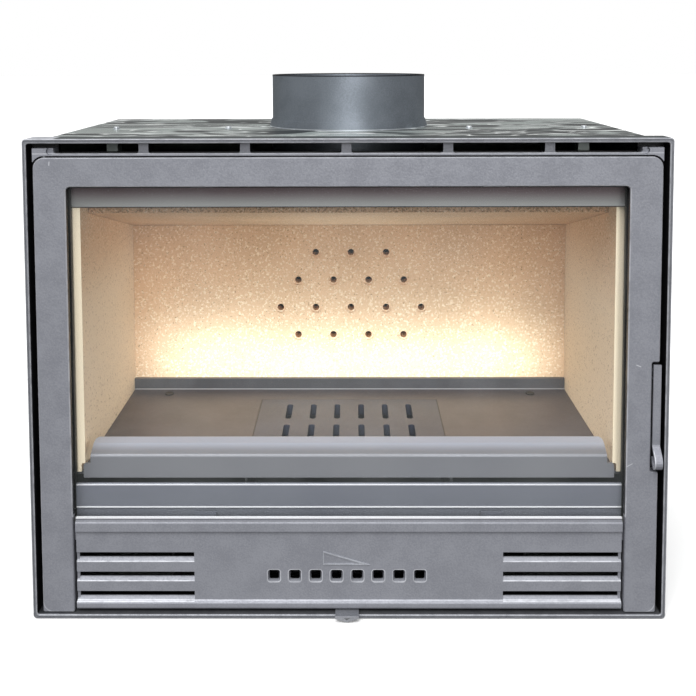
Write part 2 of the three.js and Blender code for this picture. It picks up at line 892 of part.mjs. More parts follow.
function latchLever() {
  const half = leverThickness / 2;
  const line = leverLine();
  const near = [];
  const far = [];
  for (let k = 0; k <= curlSteps; k += 1) {
    const point = line.getPointAt(k / curlSteps);
    const tangent = line.getTangentAt(k / curlSteps);
    near.push([point.x - tangent.y * half, point.y + tangent.x * half]);
    far.push([point.x + tangent.y * half, point.y - tangent.x * half]);
  }
  const curl = sectionPiece(outline([...near, ...far.reverse()]), [leverLeft, leverRight]);
  const strap = block(
    [leverLeft, leverRight],
    [leverFace - leverThickness, leverFace],
    [notchBottom + curlPath[0][1] - fit, pivotZ + leverHead],
  );
  const hub = sectionPiece(circle(pivotY, pivotZ, hubRadius, hubSteps), [leverLeft, leverRight]);
  const tongue = sectionPiece(
    outline([
      [pivotY, pivotZ - hubRadius + tongueBlend],
      [pivotY + tongueReach - tongueLand, pivotZ - tongueHeight],
      [pivotY + tongueReach, pivotZ],
      [pivotY, pivotZ + hubRadius - tongueBlend],
    ]),
    [leverLeft, leverRight],
  );
  const web = block(
    [leverLeft, leverRight],
    [leverFace - fit, pivotY],
    [pivotZ - hubRadius + tongueBlend, pivotZ + hubRadius - tongueBlend],
  );
  const bore = sectionPiece(circle(pivotY, pivotZ, pivotRadius + fit), [leverLeft - past, leverRight + past]);
  return cut(join(curl, strap, hub, tongue, web), bore);
}

// ---------------------------------------------------------------- firebox lining
function sidePanel(side) {
  const foot = floorBottom + fit;
  const board = sectionPiece(
    outline([
      [sidePanelFront, foot],
      [backFace - fit, foot],
      [backFace - fit, baffleUnder(backFace - fit) - fit],
      [baffleFront - fit, baffleUnder(baffleFront) - fit],
      [baffleFront - fit, baffleStopTop],
      [sidePanelFront, baffleStopTop],
    ]),
    span(side, fireboxHalf, fireboxHalf + sidePanelThickness),
  );
  const r = sidePanelNotchCorner;
  const notch = frontPiece(
    rectangle(
      span(side, fireboxHalf - past, fireboxHalf + sidePanelNotchWidth),
      [foot - past, foot + sidePanelNotchHeight],
      side < 0 ? [0, 0, 0, r] : [0, 0, r, 0],
    ),
    [sidePanelFront - past, sidePanelFront + sidePanelNotchDepth],
  );
  return cut(board, notch);
}

function backPanel() {
  const rear = backFace + backPanelThickness;
  const wide = fireboxHalf + sidePanelThickness;
  const board = sectionPiece(
    outline([
      [backFace, floorBottom + fit],
      [rear, floorBottom + fit],
      [rear, baffleUnder(rear) - fit],
      [backFace, baffleUnder(backFace) - fit],
    ]),
    [-wide, wide],
  );
  const holes = [];
  holeRows.forEach((count, row) => {
    for (let i = 0; i < count; i += 1) {
      const x = holeShift[row] + (i - (count - 1) / 2) * holePitchX;
      const z = holeTopZ - row * holePitchZ;
      holes.push(frontPiece(circle(x, z, holeRadius, holeSteps), [backFace - past, rear + past]));
      const ring = circle(x, z, holeRingRadius, holeSteps);
      holes.push(frontPiece(ring, [backFace - past, backFace + holeRingDepth]));
    }
  });
  return cut(board, ...holes);
}

function baffle() {
  const rear = backFace + backPanelThickness;
  const rise = baffleThickness * Math.hypot(1, baffleSlope);
  const wide = fireboxHalf + sidePanelThickness;
  return sectionPiece(
    outline([
      [baffleFront, baffleUnder(baffleFront)],
      [rear, baffleUnder(rear)],
      [rear, baffleUnder(rear) + rise],
      [baffleFront, baffleUnder(baffleFront) + rise],
    ]),
    [-wide, wide],
  );
}

// A shallow steel box behind the back panel's holes, fed from below.
function airBox() {
  const front = backFace + backPanelThickness + fit;
  const rear = front + airBoxDepth;
  const corners = (inset) => [
    [-airDuctHalf + inset, baseTop],
    [airDuctHalf - inset, baseTop],
    [airDuctHalf - inset, airBoxShoulder + inset],
    [airBoxHalf - inset, airBoxShoulder + inset],
    [airBoxHalf - inset, airBoxTop - inset],
    [-airBoxHalf + inset, airBoxTop - inset],
    [-airBoxHalf + inset, airBoxShoulder + inset],
    [-airDuctHalf + inset, airBoxShoulder + inset],
  ];
  const hollow = corners(airBoxWall);
  hollow[0][1] -= past;
  hollow[1][1] -= past;
  return cut(
    frontPiece(outline(corners(0)), [front, rear]),
    frontPiece(outline(hollow), [front - past, rear - airBoxWall]),
  );
}

// ---------------------------------------------------------------- hearth, grate and ash pan
function floorPlate() {
  const half = fireboxHalf - fit;
  const plate = block([-half, half], [floorFront, backFace - fit], [floorBottom, floorTop]);
  const seat = block(
    [-grateHalf - fit, grateHalf + fit],
    [grateFront - fit, grateRear + fit],
    [floorTop - grateThickness, floorTop + past],
  );
  const through = block(
    [-grateHalf + grateLedge, grateHalf - grateLedge],
    [grateFront + grateLedge, grateRear - grateLedge],
    [floorBottom - past, floorTop + past],
  );
  return cut(plate, seat, through);
}

function grate() {
  const top = block([-grateHalf, grateHalf], [grateFront, grateRear], [floorTop - grateThickness, floorTop]);
  const inset = grateRibInset;
  const ribs = block(
    [-grateHalf + inset, grateHalf - inset],
    [grateFront + inset, grateRear - inset],
    [floorTop - grateThickness - grateRibDepth, floorTop - grateThickness + past],
  );
  const middle = (grateFront + grateRear) / 2;
  const tools = [];
  for (let row = 0; row < 2; row += 1) {
    const y = middle + (row - 0.5) * grateRowPitch;
    for (let i = 0; i < grateColumns; i += 1) {
      const x = (i - (grateColumns - 1) / 2) * gratePitch;
      tools.push(
        flatPiece(
          rectangle(
            [x - grateSlotWidth / 2, x + grateSlotWidth / 2],
            [y - grateSlotLength / 2, y + grateSlotLength / 2],
            grateSlotWidth * grateSlotRound,
          ),
          [floorTop - grateThickness - grateRibDepth - past, floorTop + past],
        ),
      );
    }
    // Hollows between the ribs, under the bars.
    for (let i = 0; i < grateColumns - 1; i += 1) {
      const x = (i - (grateColumns - 2) / 2) * gratePitch;
      const half = (gratePitch - grateSlotWidth) / 2 - grateBarWall;
      tools.push(
        block(
          [x - half, x + half],
          [y - grateSlotLength / 2, y + grateSlotLength / 2],
          [floorTop - grateThickness - grateRibDepth - past, floorTop - grateThickness],
        ),
      );
    }
  }
  return cut(join(top, ribs), ...tools);
}

function ashPan() {
  const bottom = baseTop;
  const s = ashPanSheet;
  const tray = block([-ashPanHalf, ashPanHalf], [ashPanFront, ashPanRear], [bottom, bottom + ashPanHeight]);
  const hollow = block(
    [-ashPanHalf + s, ashPanHalf - s],
    [ashPanFront + s, ashPanRear - s],
    [bottom + s, bottom + ashPanHeight + past],
  );
  const rim = ring(
    rectangle(
      [-ashPanHalf - ashPanRim, ashPanHalf + ashPanRim],
      [ashPanFront - ashPanRim, ashPanRear + ashPanRim],
      ashPanRim,
    ),
    rectangle([-ashPanHalf + s, ashPanHalf - s], [ashPanFront + s, ashPanRear - s]),
  );
  return join(cut(tray, hollow), flatPiece(rim, [bottom + ashPanHeight - s, bottom + ashPanHeight]));
}

function sideLedge(side) {
  const outer = sideSteelInner;
  const flat = block(span(side, outer - ledgeWidth, outer), [floorFront, backFace + backPanelThickness], [
    floorBottom - plateSteel,
    floorBottom,
  ]);
  const wall = block(span(side, outer - plateSteel, outer), [floorFront, backFace + backPanelThickness], [
    floorBottom - ledgeDrop,
    floorBottom,
  ]);
  return join(flat, wall);
}

function logRetainer() {
  const t = retainerThickness;
  const front = retainerFront;
  const faceRear = front + retainerFaceSheet;
  const flangeRear = floorFront + retainerFlange;
  const flangeTop = floorTop + retainerFlangeHeight;
  const section = outline([
    [front, retainerBottom, retainerEdge],
    [faceRear, retainerBottom, retainerEdge],
    [faceRear, floorTop],
    [flangeRear, floorTop],
    [flangeRear, flangeTop],
    [front + t, flangeTop],
    [front + t, retainerShoulder - retainerSlope],
    [retainerRear - 2 * retainerEdge, retainerTop - t - retainerEdge],
    [retainerRear, retainerTop - t],
    [retainerRear, retainerTop, 2 * retainerEdge],
    [retainerRear - retainerLip, retainerTop - retainerSlope],
    [front, retainerShoulder, 4 * retainerEdge],
  ]);
  const half = fireboxHalf - retainerSideGap;
  const c = retainerBackCorner;
  const plan = flatPiece(
    rectangle([-half, half], [front - past, retainerRear], [0, 0, c, c]),
    [retainerBottom - past, retainerTop + past],
  );
  const angle = sectionPiece(section, [-half, half]).intersect(plan);
  const footHalf = fireboxHalf + retainerFootOver;
  const wings = frontPiece(
    rectangle(
      [-footHalf, footHalf],
      [retainerBottom, retainerBottom + retainerFootHeight],
      [retainerEdge, retainerEdge, retainerFootCorner, retainerFootCorner],
    ),
    [front, sidePanelFront - fit],
  );
  return join(angle, wings);
}

function sillBar() {
  const rear = lipDepth;
  const front = rear - sillDepth;
  return sectionPiece(
    outline([
      [rear, sillBottom],
      [rear, sillTop],
      [front, sillTop, sillEdge],
      [front, sillStep],
      [front + sillBand, sillStep - sillBandSlope],
      [front + sillBand, sillBottom],
    ]),
    [-sillHalf, sillHalf],
  );
}

// ---------------------------------------------------------------- casing and steel body
function withFlueHole(plate, radius, z0, z1) {
  return cut(plate, turned(0, flueY, [z0 - past, z1 + past], radius));
}

function fireboxBase() {
  const thick = [baseTop - baseThickness, baseTop];
  const plate = block([-sideSteelOuter, sideSteelOuter], [plateRear, backSteelRear], thick);
  const airRear = backFace + backPanelThickness + fit;
  const secondary = block(
    [-airDuctHalf + airBoxWall, airDuctHalf - airBoxWall],
    [airRear + airBoxWall, airRear + airBoxDepth - airBoxWall],
    [baseTop - baseThickness - past, baseTop + past],
  );
  const primary = block(
    [-airDuctBoxHalf + airInletSide, airDuctBoxHalf - airInletSide],
    [plateRear + airInletFront, ashPanFront - airInletRear],
    [baseTop - baseThickness - past, baseTop + past],
  );
  return cut(plate, secondary, primary);
}

function airDuct() {
  const s = casingSheet;
  const rear = plateRear + airDuctBoxDepth;
  const top = baseTop - baseThickness;
  const shell = block([-airDuctBoxHalf, airDuctBoxHalf], [plateRear, rear], [airDuctBoxBottom, top]);
  const hollow = block(
    [-airDuctBoxHalf + s, airDuctBoxHalf - s],
    [plateRear - past, rear - s],
    [airDuctBoxBottom + s, top + past],
  );
  return cut(shell, hollow);
}

// ---------------------------------------------------------------- assembly: fixed body
const body = new THREE.Group();
insert.add(body);

add(body, "front_frame", frontFrame(), castPaint);
add(body, "slot_frieze", slotFrieze(), castPaint);

add(
  body,
  "casing_top",
  withFlueHole(
    block([-casingHalf, casingHalf], [plateRear, casingRear], [casingTopUnder, casingTopZ]),
    flueRadius + fit,
    casingTopUnder,
    casingTopZ,
  ),
  sheetPaint,
);
const casingDepth = [plateRear, casingRear];
add(body, "casing_base", block([-casingHalf, casingHalf], casingDepth, [0, casingTopSheet]), sheetPaint);
for (const [word, side] of sides) {
  add(
    body,
    "casing_" + word,
    block(span(side, casingHalf - casingSheet, casingHalf), casingDepth, [casingTopSheet, casingTopUnder]),
    sheetPaint,
  );
}
add(
  body,
  "casing_back",
  block(
    [-casingHalf + casingSheet, casingHalf - casingSheet],
    [casingRear - casingSheet, casingRear],
    [casingTopSheet, casingTopUnder],
  ),
  sheetPaint,
);

add(body, "firebox_base", fireboxBase(), rawSteel);
for (const [word, side] of sides) {
  add(
    body,
    "firebox_" + word,
    block(span(side, sideSteelInner, sideSteelOuter), [plateRear, backSteelRear], [baseTop, fireboxTopZ]),
    rawSteel,
  );
}
add(
  body,
  "firebox_back",
  block([-sideSteelInner, sideSteelInner], [backSteelFront, backSteelRear], [baseTop, fireboxTopZ]),
  rawSteel,
);
add(
  body,
  "firebox_top",
  withFlueHole(
    block(
      [-sideSteelOuter, sideSteelOuter],
      [plateRear, backSteelRear],
      [fireboxTopZ, fireboxTopZ + plateSteel],
    ),
    flueRadius - flueWall,
    fireboxTopZ,
    fireboxTopZ + plateSteel,
  ),
  rawSteel,
);
add(
  body,
  "flue_collar",
  turned(0, flueY, [fireboxTopZ + plateSteel, flueTop], flueRadius, flueRadius - flueWall, flueSteps),
  fluePaint,
);
add(
  body,
  "collar_ring",
  turned(
    0,
    flueY,
    [casingTopZ, casingTopZ + flueRingHeight],
    flueRadius + flueRing,
    flueRadius + fit,
    flueSteps,
    flueRadius + flueRingTop,
  ),
  fluePaint,
);
for (const [word, side] of sides) {
  add(
    body,
    "spacer_bracket_" + word,
    block(
      span(side, spacerX - spacerWidth / 2, spacerX + spacerWidth / 2),
      [spacerFront, spacerFront + spacerDepth],
      [fireboxTopZ + plateSteel, casingTopUnder],
    ),
    sheetPaint,
  );
  add(
    body,
    "support_rail_" + word,
    block(
      span(side, supportRailX, supportRailX + plateSteel),
      [supportRailFront, backSteelRear],
      [casingTopSheet, baseTop - baseThickness],
    ),
    rawSteel,
  );
  add(
    body,
    "ash_wall_" + word,
    block(
      span(side, ashWallInner, ashWallInner + plateSteel),
      [floorFront, ashWallRear],
      [baseTop, floorBottom],
    ),
    rawSteel,
  );
  add(body, "side_ledge_" + word, sideLedge(side), rawSteel);
  add(body, "side_panel_" + word, sidePanel(side), fireClay);
}
add(body, "air_duct", airDuct(), rawSteel);
add(body, "air_box", airBox(), rawSteel);
add(body, "back_panel", backPanel(), fireClay);
add(body, "baffle", baffle(), fireClay);
add(
  body,
  "header_plate",
  block([-sideSteelInner, sideSteelInner], [plateRear, plateRear + plateSteel], [headerBottom, fireboxTopZ]),
  rawSteel,
);
add(body, "floor_plate", floorPlate(), floorIron);
add(
  body,
  "rear_kerb",
  block(
    [-fireboxHalf + fit, fireboxHalf - fit],
    [backFace - fit - kerbThickness, backFace - fit],
    [floorTop, floorTop + kerbHeight],
  ),
  floorIron,
);
add(body, "grate", grate(), floorIron);
add(body, "ash_pan", ashPan(), rawSteel);
add(body, "log_retainer", logRetainer(), castPaint);
add(body, "sill_bar", sillBar(), castPaint);
add(
  body,
  "latch_keeper",
  block(
    [leverLeft, leverRight],
    [lipDepth - keeperThickness, lipDepth],
    [pivotZ - keeperHeight / 2, pivotZ + keeperHeight / 2],
  ),
  rawSteel,
);
add(
  body,
  "hinge_pin_upper",
  hingeRod([doorTop - hingePinInDoor, lipUnderside - cornerBlockTop], hingePinRadius),
  rawSteel,
);
add(
  body,
  "hinge_pin_lower",
  hingeRod([hingePinFoot, doorBottom + hingePinInDoor], hingePinRadius),
  rawSteel,
);

// ---------------------------------------------------------------- assembly: door
const door = new THREE.Group();
insert.add(door);

add(door, "door_frame", doorFrame(), castPaint);
add(door, "grille_panel", grillePanel(), castPaint);
add(
  door,
  "glass_gasket",
  frontPiece(
    ring(
      rectangle([-glassHalf, glassHalf], [gasketFoot, glassTop]),
      rectangle(
        [-glassHalf + gasketWidth, glassHalf - gasketWidth],
        [gasketFoot + gasketWidth, glassTop - gasketWidth],
      ),
    ),
    [rebateFace, glassFront],
  ),
  sealRope,
);
add(
  door,
  "door_glass",
  block([-glassHalf, glassHalf], [glassFront, glassFront + glassThickness], [glassBottom, glassTop]),
  ceramicGlass,
);
// A clip that laps the glass and is screwed to the frame beside it.
function glassClip(x, edge, inward) {
  const width = [x - clipWidth / 2, x + clipWidth / 2];
  const lap = edge + inward * clipLap;
  const seat = edge - inward * (ropeWidth / 2);
  const height = [Math.min(lap, seat), Math.max(lap, seat)];
  const plate = block(width, [doorRear, doorRear + clipThickness], height);
  const press = block(
    width,
    [glassFront + glassThickness, doorRear + clipThickness / 2],
    [Math.min(lap, edge), Math.max(lap, edge)],
  );
  return join(plate, press);
}
for (const [level, edge, inward] of [
  ["upper", glassTop, -1],
  ["lower", glassBottom, 1],
]) {
  for (const [word, side] of sides) {
    add(door, `glass_clip_${level}_${word}`, glassClip(side * clipOffset, edge, inward), rawSteel);
  }
}
add(
  door,
  "rope_seal",
  frontPiece(ropeOutline(0), [ropeFront, ropeFront + ropeDepth], ropeEdge),
  sealRope,
);
add(
  door,
  "latch_pivot",
  sectionPiece(circle(pivotY, pivotZ, pivotRadius), [leverRight - pivotLength, leverRight]),
  rawSteel,
);
const guideX = [portCentreX - airRowHalf, portCentreX + airRowHalf];
add(door, "slider_guide_upper", guideRun(guideX, true), rawSteel);
add(
  door,
  "slider_guide_lower_left",
  guideRun([guideX[0], portCentreX - tabWidth / 2 - guideArmGap], false),
  rawSteel,
);
add(
  door,
  "slider_guide_lower_right",
  guideRun([portCentreX + tabWidth / 2 + guideArmGap, guideX[1]], false),
  rawSteel,
);

const lever = new THREE.Group();
door.add(lever);
add(lever, "latch_lever", latchLever(), castPaint);

const register = new THREE.Group();
door.add(register);
add(register, "air_slider", airSlider(), rawSteel);
add(register, "slider_tab", sliderTab(), rawSteel);

export default insert;
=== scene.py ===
import math

import bmesh
import bpy
from mathutils import Matrix, Vector


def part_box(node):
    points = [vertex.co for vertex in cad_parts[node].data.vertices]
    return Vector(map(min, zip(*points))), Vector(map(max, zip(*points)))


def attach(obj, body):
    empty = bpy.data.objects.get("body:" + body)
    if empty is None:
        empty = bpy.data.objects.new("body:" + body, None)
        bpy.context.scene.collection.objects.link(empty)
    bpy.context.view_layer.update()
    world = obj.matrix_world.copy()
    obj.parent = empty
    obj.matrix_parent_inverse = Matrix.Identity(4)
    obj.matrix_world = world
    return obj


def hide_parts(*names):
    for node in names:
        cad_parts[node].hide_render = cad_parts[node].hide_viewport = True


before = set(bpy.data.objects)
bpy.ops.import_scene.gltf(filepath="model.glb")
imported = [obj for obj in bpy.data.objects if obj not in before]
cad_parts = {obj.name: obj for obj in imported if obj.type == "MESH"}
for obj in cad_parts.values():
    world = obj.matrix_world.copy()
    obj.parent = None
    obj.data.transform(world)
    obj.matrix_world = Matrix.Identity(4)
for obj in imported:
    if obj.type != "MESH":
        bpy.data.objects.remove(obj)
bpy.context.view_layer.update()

MM = 0.001


# ------------------------------------------------------------------ places taken from the frame
class Extent:
    """The box of one CAD node, side by side: left, right, front, rear, foot and top, in metres."""

    def __init__(self, node):
        low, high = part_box(node)
        self.left, self.front, self.foot = low
        self.right, self.rear, self.top = high
        self.middle = (low + high) / 2


front = Extent("front_frame")
door = Extent("door_frame")
grille = Extent("grille_panel")
gasket = Extent("glass_gasket")
rope = Extent("rope_seal")
casing_top = Extent("casing_top")
collar = Extent("flue_collar")
floor_plate = Extent("floor_plate")
lever = Extent("latch_lever")
back_board = Extent("back_panel")
baffle = Extent("baffle")
frieze = Extent("slot_frieze")
header = Extent("header_plate")
kerb = Extent("rear_kerb")
sill = Extent("sill_bar")
grate = Extent("grate")
retainer = Extent("log_retainer")

LIP_FACE = front.front  # the plane that the photograph's sizes are read on
LIP_CORNER = 4 * MM
LIP_INNER_CORNER = 3 * MM
LIP_SIDE = 4.2 * MM
LIP_FOOT = 4.4 * MM
LIP_TOP = 5 * MM
LIP_OPENING = (
    (front.left + LIP_SIDE, front.right - LIP_SIDE),
    (front.foot + LIP_FOOT, front.top - LIP_TOP),
)
TOP_PAINT_START = -318 * MM  # where the casing's paint begins on the lip's top
DOOR_CORNER = 12 * MM
STILE = 35 * MM
TOP_RAIL = 32 * MM
WINDOW = ((door.left + STILE, door.right - STILE), (grille.top, door.top - TOP_RAIL))
WINDOW_CORNER = 4.5 * MM
NICKS = (  # place in X and Z, length and tilt
    (317 * MM, 284 * MM, 5 * MM, -0.4),
    (309 * MM, 173 * MM, 6 * MM, 0.5),
    (-322 * MM, 507 * MM, 4 * MM, 1.5),
)
SLOT_ROW_HALF = 316.5 * MM
SLOT_LEDGE = 9.2 * MM
BEAD_DEPTH = 4.5 * MM
PANEL_FACE = grille.rear - BEAD_DEPTH  # flat of the grille panel, behind its rounded beads
LOUVRE_MARGIN = 3 * MM
LOUVRE_LENGTH = 128 * MM
LOUVRE_INNER = grille.right - LOUVRE_MARGIN - LOUVRE_LENGTH
LOUVRE_TOP = 72.3 * MM
LOUVRE_FOOT = 10.8 * MM
LOUVRE_PITCH = 22.3 * MM
LOUVRE_ROWS = 3
PORTS = 8
PORT_MIDDLE = -1.8 * MM
PORT_Z = 45.2 * MM
PORT_PITCH = 23.2 * MM
PORT_HALF = 6.95 * MM
PORT_CORNER = 3 * MM
BOLT_SPOTS = ((-288, 171), (-149, 172), (150, 173), (293, 175))  # X and distance behind the lip, in mm
FLOOR_SCREW_X = 247 * MM
FLOOR_SCREW_DEPTH = 275 * MM  # behind the lip
ROPE_RADIUS = 3.9 * MM
ROPE_INSET = 4.75 * MM
ROPE_BEND = 6 * MM
TAPE_WIDTH = 6 * MM
SIGN_LEFT, SIGN_RIGHT = -28.4 * MM, 23.6 * MM
SIGN_FOOT, SIGN_TOP = 58.2 * MM, 73.6 * MM
SIGN_LINE = 1.3 * MM
SIGN_RISE = 0.8 * MM
CLIP_SCREW_INSET = 3.2 * MM

SKY_BASE = 0.15
SKY_RISE = 0.9
KEY_POWER = 2.2
FRONT_POWER = 1.1
BOARD_POWER = 0.56
LINING_POWER = 0.9
EDGE_POWER = 0.9
FLOOR_GLOW = 0.1
BOARD_COLOR = (0.74, 0.92, 1.0)
LINING_COLOR = (0.74, 0.93, 1.0)

FRAME_PIXELS = 696
FOCAL_PIXELS = 1000
AXIS_ROW = 126.8  # the optical axis meets the photograph this many pixels down
CAMERA_SIDE = 6.8 * MM
CAMERA_BACK = 1067 * MM  # from the lip's face
CAMERA_HEIGHT = 621.4 * MM


# ------------------------------------------------------------------ shader building
class Signal:
    """A socket in a material. Python arithmetic on it adds the Math nodes that work it out."""

    def __init__(self, paint, socket):
        self.paint = paint
        self.socket = socket

    def math(self, operation, other=0.0, swapped=False):
        inputs = {0: other, 1: self} if swapped else {0: self, 1: other}
        return self.paint.node("Math", {"operation": operation}, inputs)

    def __add__(self, other):
        return self.math("ADD", other)

    def __sub__(self, other):
        return self.math("SUBTRACT", other)

    def __mul__(self, other):
        return self.math("MULTIPLY", other)

    def __rsub__(self, other):
        return self.math("SUBTRACT", other, swapped=True)

    __radd__ = __add__
    __rmul__ = __mul__

    def __abs__(self):
        return self.math("ABSOLUTE")

    def least(self, other):
        return self.math("MINIMUM", other)

    def most(self, other):
        return self.math("MAXIMUM", other)

    def ramp(self, start, end, low=0.0, high=1.0):
        """Runs from low to high, eased, while the value goes from start to end."""
        settings = {"interpolation_type": "SMOOTHSTEP"}
        inputs = {"Value": self, "From Min": start, "From Max": end, "To Min": low, "To Max": high}
        if start > end:
            inputs.update({"From Min": end, "From Max": start, "To Min": high, "To Max": low})
        return self.paint.node("MapRange", settings, inputs)


class Paint:
    """One procedural material: a Principled shader and the nodes that feed it."""

    def __init__(self, name, **constants):
        self.material = bpy.data.materials.new(name)
        self.material.use_nodes = True
        self.tree = self.material.node_tree
        self.shader = self.tree.nodes["Principled BSDF"]
        for socket, value in constants.items():
            self.shader.inputs[socket.replace("_", " ")].default_value = value
        self._place = None

    def node(self, kind, settings=None, inputs=None, output=0):
        made = self.tree.nodes.new("ShaderNode" + kind)
        for key, value in (settings or {}).items():
            setattr(made, key, value)
        for key, value in (inputs or {}).items():
            self.feed(made.inputs[key], value)
        return Signal(self, made.outputs[output])

    def feed(self, socket, value):
        if isinstance(value, Signal):
            self.tree.links.new(value.socket, socket)
        else:
            socket.default_value = value

    @property
    def place(self):
        if self._place is None:
            self._place = self.node("TexCoord", output="Object")
        return self._place

    @property
    def axes(self):
        """X, Y and Z of the point, in metres."""
        split = self.tree.nodes.new("ShaderNodeSeparateXYZ")
        self.feed(split.inputs[0], self.place)
        return [Signal(self, output) for output in split.outputs]

    def stretched(self, x, y, z):
        return self.node("Mapping", inputs={"Vector": self.place, "Scale": (x, y, z)})

    def noise(self, size, detail=2.0, roughness=0.5, distortion=0.0, vector=None):
        """Cloudy pattern whose blots are about size metres across."""
        inputs = {
            "Vector": vector or self.place,
            "Scale": 1.0 / size,
            "Detail": detail,
            "Roughness": roughness,
            "Distortion": distortion,
        }
        return self.node("TexNoise", inputs=inputs)

    def cells(self, size):
        """Distance to the nearest of many scattered points, about size metres apart."""
        inputs = {"Vector": self.place, "Scale": 1.0 / size}
        return self.node("TexVoronoi", {"feature": "F1"}, inputs, "Distance")

    def blend(self, factor, first, second):
        """A colour that goes from first to second as factor goes from 0 to 1."""
        return self.node("Mix", {"data_type": "RGBA"}, {0: factor, 6: first, 7: second}, 2)

    def bump(self, height, depth, strength=1.0, under=None):
        """Relief: height runs from 0 to 1 over depth metres."""
        inputs = {"Strength": strength, "Distance": depth, "Height": height}
        if under is not None:
            inputs["Normal"] = under
        return self.node("Bump", inputs=inputs)

    def cover(self, mask, color):
        """Lays one more colour over the base colour, where mask is 1."""
        below = self.shader.inputs["Base Color"].links[0].from_socket
        return self.set(Base_Color=self.blend(mask, Signal(self, below), color))

    def set(self, **links):
        for socket, value in links.items():
            self.feed(self.shader.inputs[socket.replace("_", " ")], value)
        return self


def tone(red, green, blue):
    """A colour given as it looks on screen, from 0 to 255, made linear."""

    def linear(c):
        c /= 255
        return c / 12.92 if c <= 0.04045 else ((c + 0.055) / 1.055) ** 2.4

    return (linear(red), linear(green), linear(blue), 1.0)


# ------------------------------------------------------------------ finishes
# painted shade: a very dark tone for gaps, recesses and walls in shadow
PAINTED_SHADE_TONE = tone(14, 14, 17)
# a darker tone for the band at the collar's top
COLLAR_TOP_DARK = tone(40, 40, 45)
# painted highlight along edges and rims; also the tone of a few bright nicks
HIGHLIGHT_AND_WEAR_TONE = tone(214, 216, 222)
# painted highlight: white for bright lines along edges
PAINTED_HIGHLIGHT_WHITE = tone(250, 252, 255)


def rounded_box(paint, box, radius):
    """Distance of a point from the outline of a rounded rectangle in X and Z, below 0 inside."""
    (x0, x1), (z0, z1) = box
    x, _, z = paint.axes
    dx = abs(x - (x0 + x1) / 2) - ((x1 - x0) / 2 - radius)
    dz = abs(z - (z0 + z1) / 2) - ((z1 - z0) / 2 - radius)
    outside_x = dx.most(0.0)
    outside_z = dz.most(0.0)
    corner = (outside_x * outside_x + outside_z * outside_z).math("SQRT")
    return corner + dx.most(dz).least(0.0) - radius


def band(value, middle, width, soft=0.3 * MM):
    """1 within half of width of middle, falling off over soft."""
    return abs(value - middle).ramp(width / 2 + soft, width / 2)


def cast_paint(name, dark=(134, 136, 144), light=(147, 149, 157), highlight_and_wear=None, painted_shade=None):
    """Metallic grey heat paint on a fine cast skin; over it go painted highlights along edges, with a few
    real nicks, and very dark painted shade where shade falls.
    """
    paint = Paint(name, Metallic=0.3)
    mottle = paint.noise(0.03, detail=3.0, roughness=0.6)
    grain = paint.noise(0.0019, detail=2.0, roughness=0.6)
    glint = paint.noise(0.0013, detail=1.0).ramp(0.66, 0.76)
    color = paint.blend((mottle * 0.5 + grain * 0.5).ramp(0.36, 0.64), tone(*dark), tone(*light))
    color = paint.blend(glint * 0.35, color, tone(176, 178, 184))
    # painted highlights on edges and rims, patchy, with some nicks among them
    if highlight_and_wear is not None:
        patchy = paint.noise(0.012, detail=3.0).ramp(0.3, 0.6, 0.45, 1.0)
        color = paint.blend(highlight_and_wear(paint) * patchy, color, HIGHLIGHT_AND_WEAR_TONE)
    # painted shade, very dark where shade falls
    if painted_shade is not None:
        color = paint.blend(painted_shade(paint), color, PAINTED_SHADE_TONE)
    normal = paint.bump(grain * 0.8 + mottle * 0.2, 0.28 * MM, strength=0.75)
    return paint.set(Base_Color=color, Roughness=grain.ramp(0.3, 0.7, 0.58, 0.44), Normal=normal)


def door_edges(paint):
    """Painted highlights on the door's rims, its outline and its window, and a few bright nicks."""
    outline = rounded_box(paint, ((door.left, door.right), (door.foot, door.top)), DOOR_CORNER)
    window = rounded_box(paint, WINDOW, WINDOW_CORNER)
    rims = (band(outline, -0.5 * MM, 1.0 * MM) * 0.45).most(band(window, 0.5 * MM, 0.9 * MM) * 0.75)
    for x, z, length, tilt in NICKS:
        rims = rims.most(nick(paint, x, z, length, tilt))
    return rims


def nick(paint, x0, z0, length, tilt):
    """A short bright scratch."""
    x, _, z = paint.axes
    along = (x - x0) * math.cos(tilt) + (z - z0) * math.sin(tilt)
    across = (z - z0) * math.cos(tilt) - (x - x0) * math.sin(tilt)
    return band(along, 0.0, length, 0.6 * MM) * band(across, 0.0, 0.5 * MM, 0.4 * MM) * 0.8


def window_reveal(paint):
    """Painted shade on the window's inner walls, behind the bright rim."""
    _, y, _ = paint.axes
    window = rounded_box(paint, WINDOW, WINDOW_CORNER)
    return window.ramp(0.2 * MM, 0.0) * y.ramp(door.front + 0.8 * MM, door.front + 2 * MM) * 0.88


def lip_edges(paint):
    """Painted highlights on the rims of the lip round the front, weaker at the bottom."""
    outline = rounded_box(paint, ((front.left, front.right), (front.foot, front.top)), LIP_CORNER)
    opening = rounded_box(paint, LIP_OPENING, LIP_INNER_CORNER)
    _, _, z = paint.axes
    rims = (band(outline, -0.4 * MM, 0.9 * MM) * 0.5).most(band(opening, 0.4 * MM, 0.8 * MM) * 0.7)
    return rims * z.ramp(front.foot + 5 * MM, front.foot + 9 * MM, 0.3, 1.0)


def lip_depth(paint):
    """Painted shade, very dark: everything behind the lip's rim that lies in the shadow between the lip and
    the door, a little less at the bottom.
    """
    _, y, z = paint.axes
    opening = rounded_box(paint, LIP_OPENING, LIP_INNER_CORNER)
    deep = opening.ramp(0.3 * MM, 0.0) * y.ramp(LIP_FACE + 0.8 * MM, LIP_FACE + 2.6 * MM)
    return deep * z.ramp(front.foot + 4.6 * MM, front.foot + 6 * MM, 0.75, 1.0)


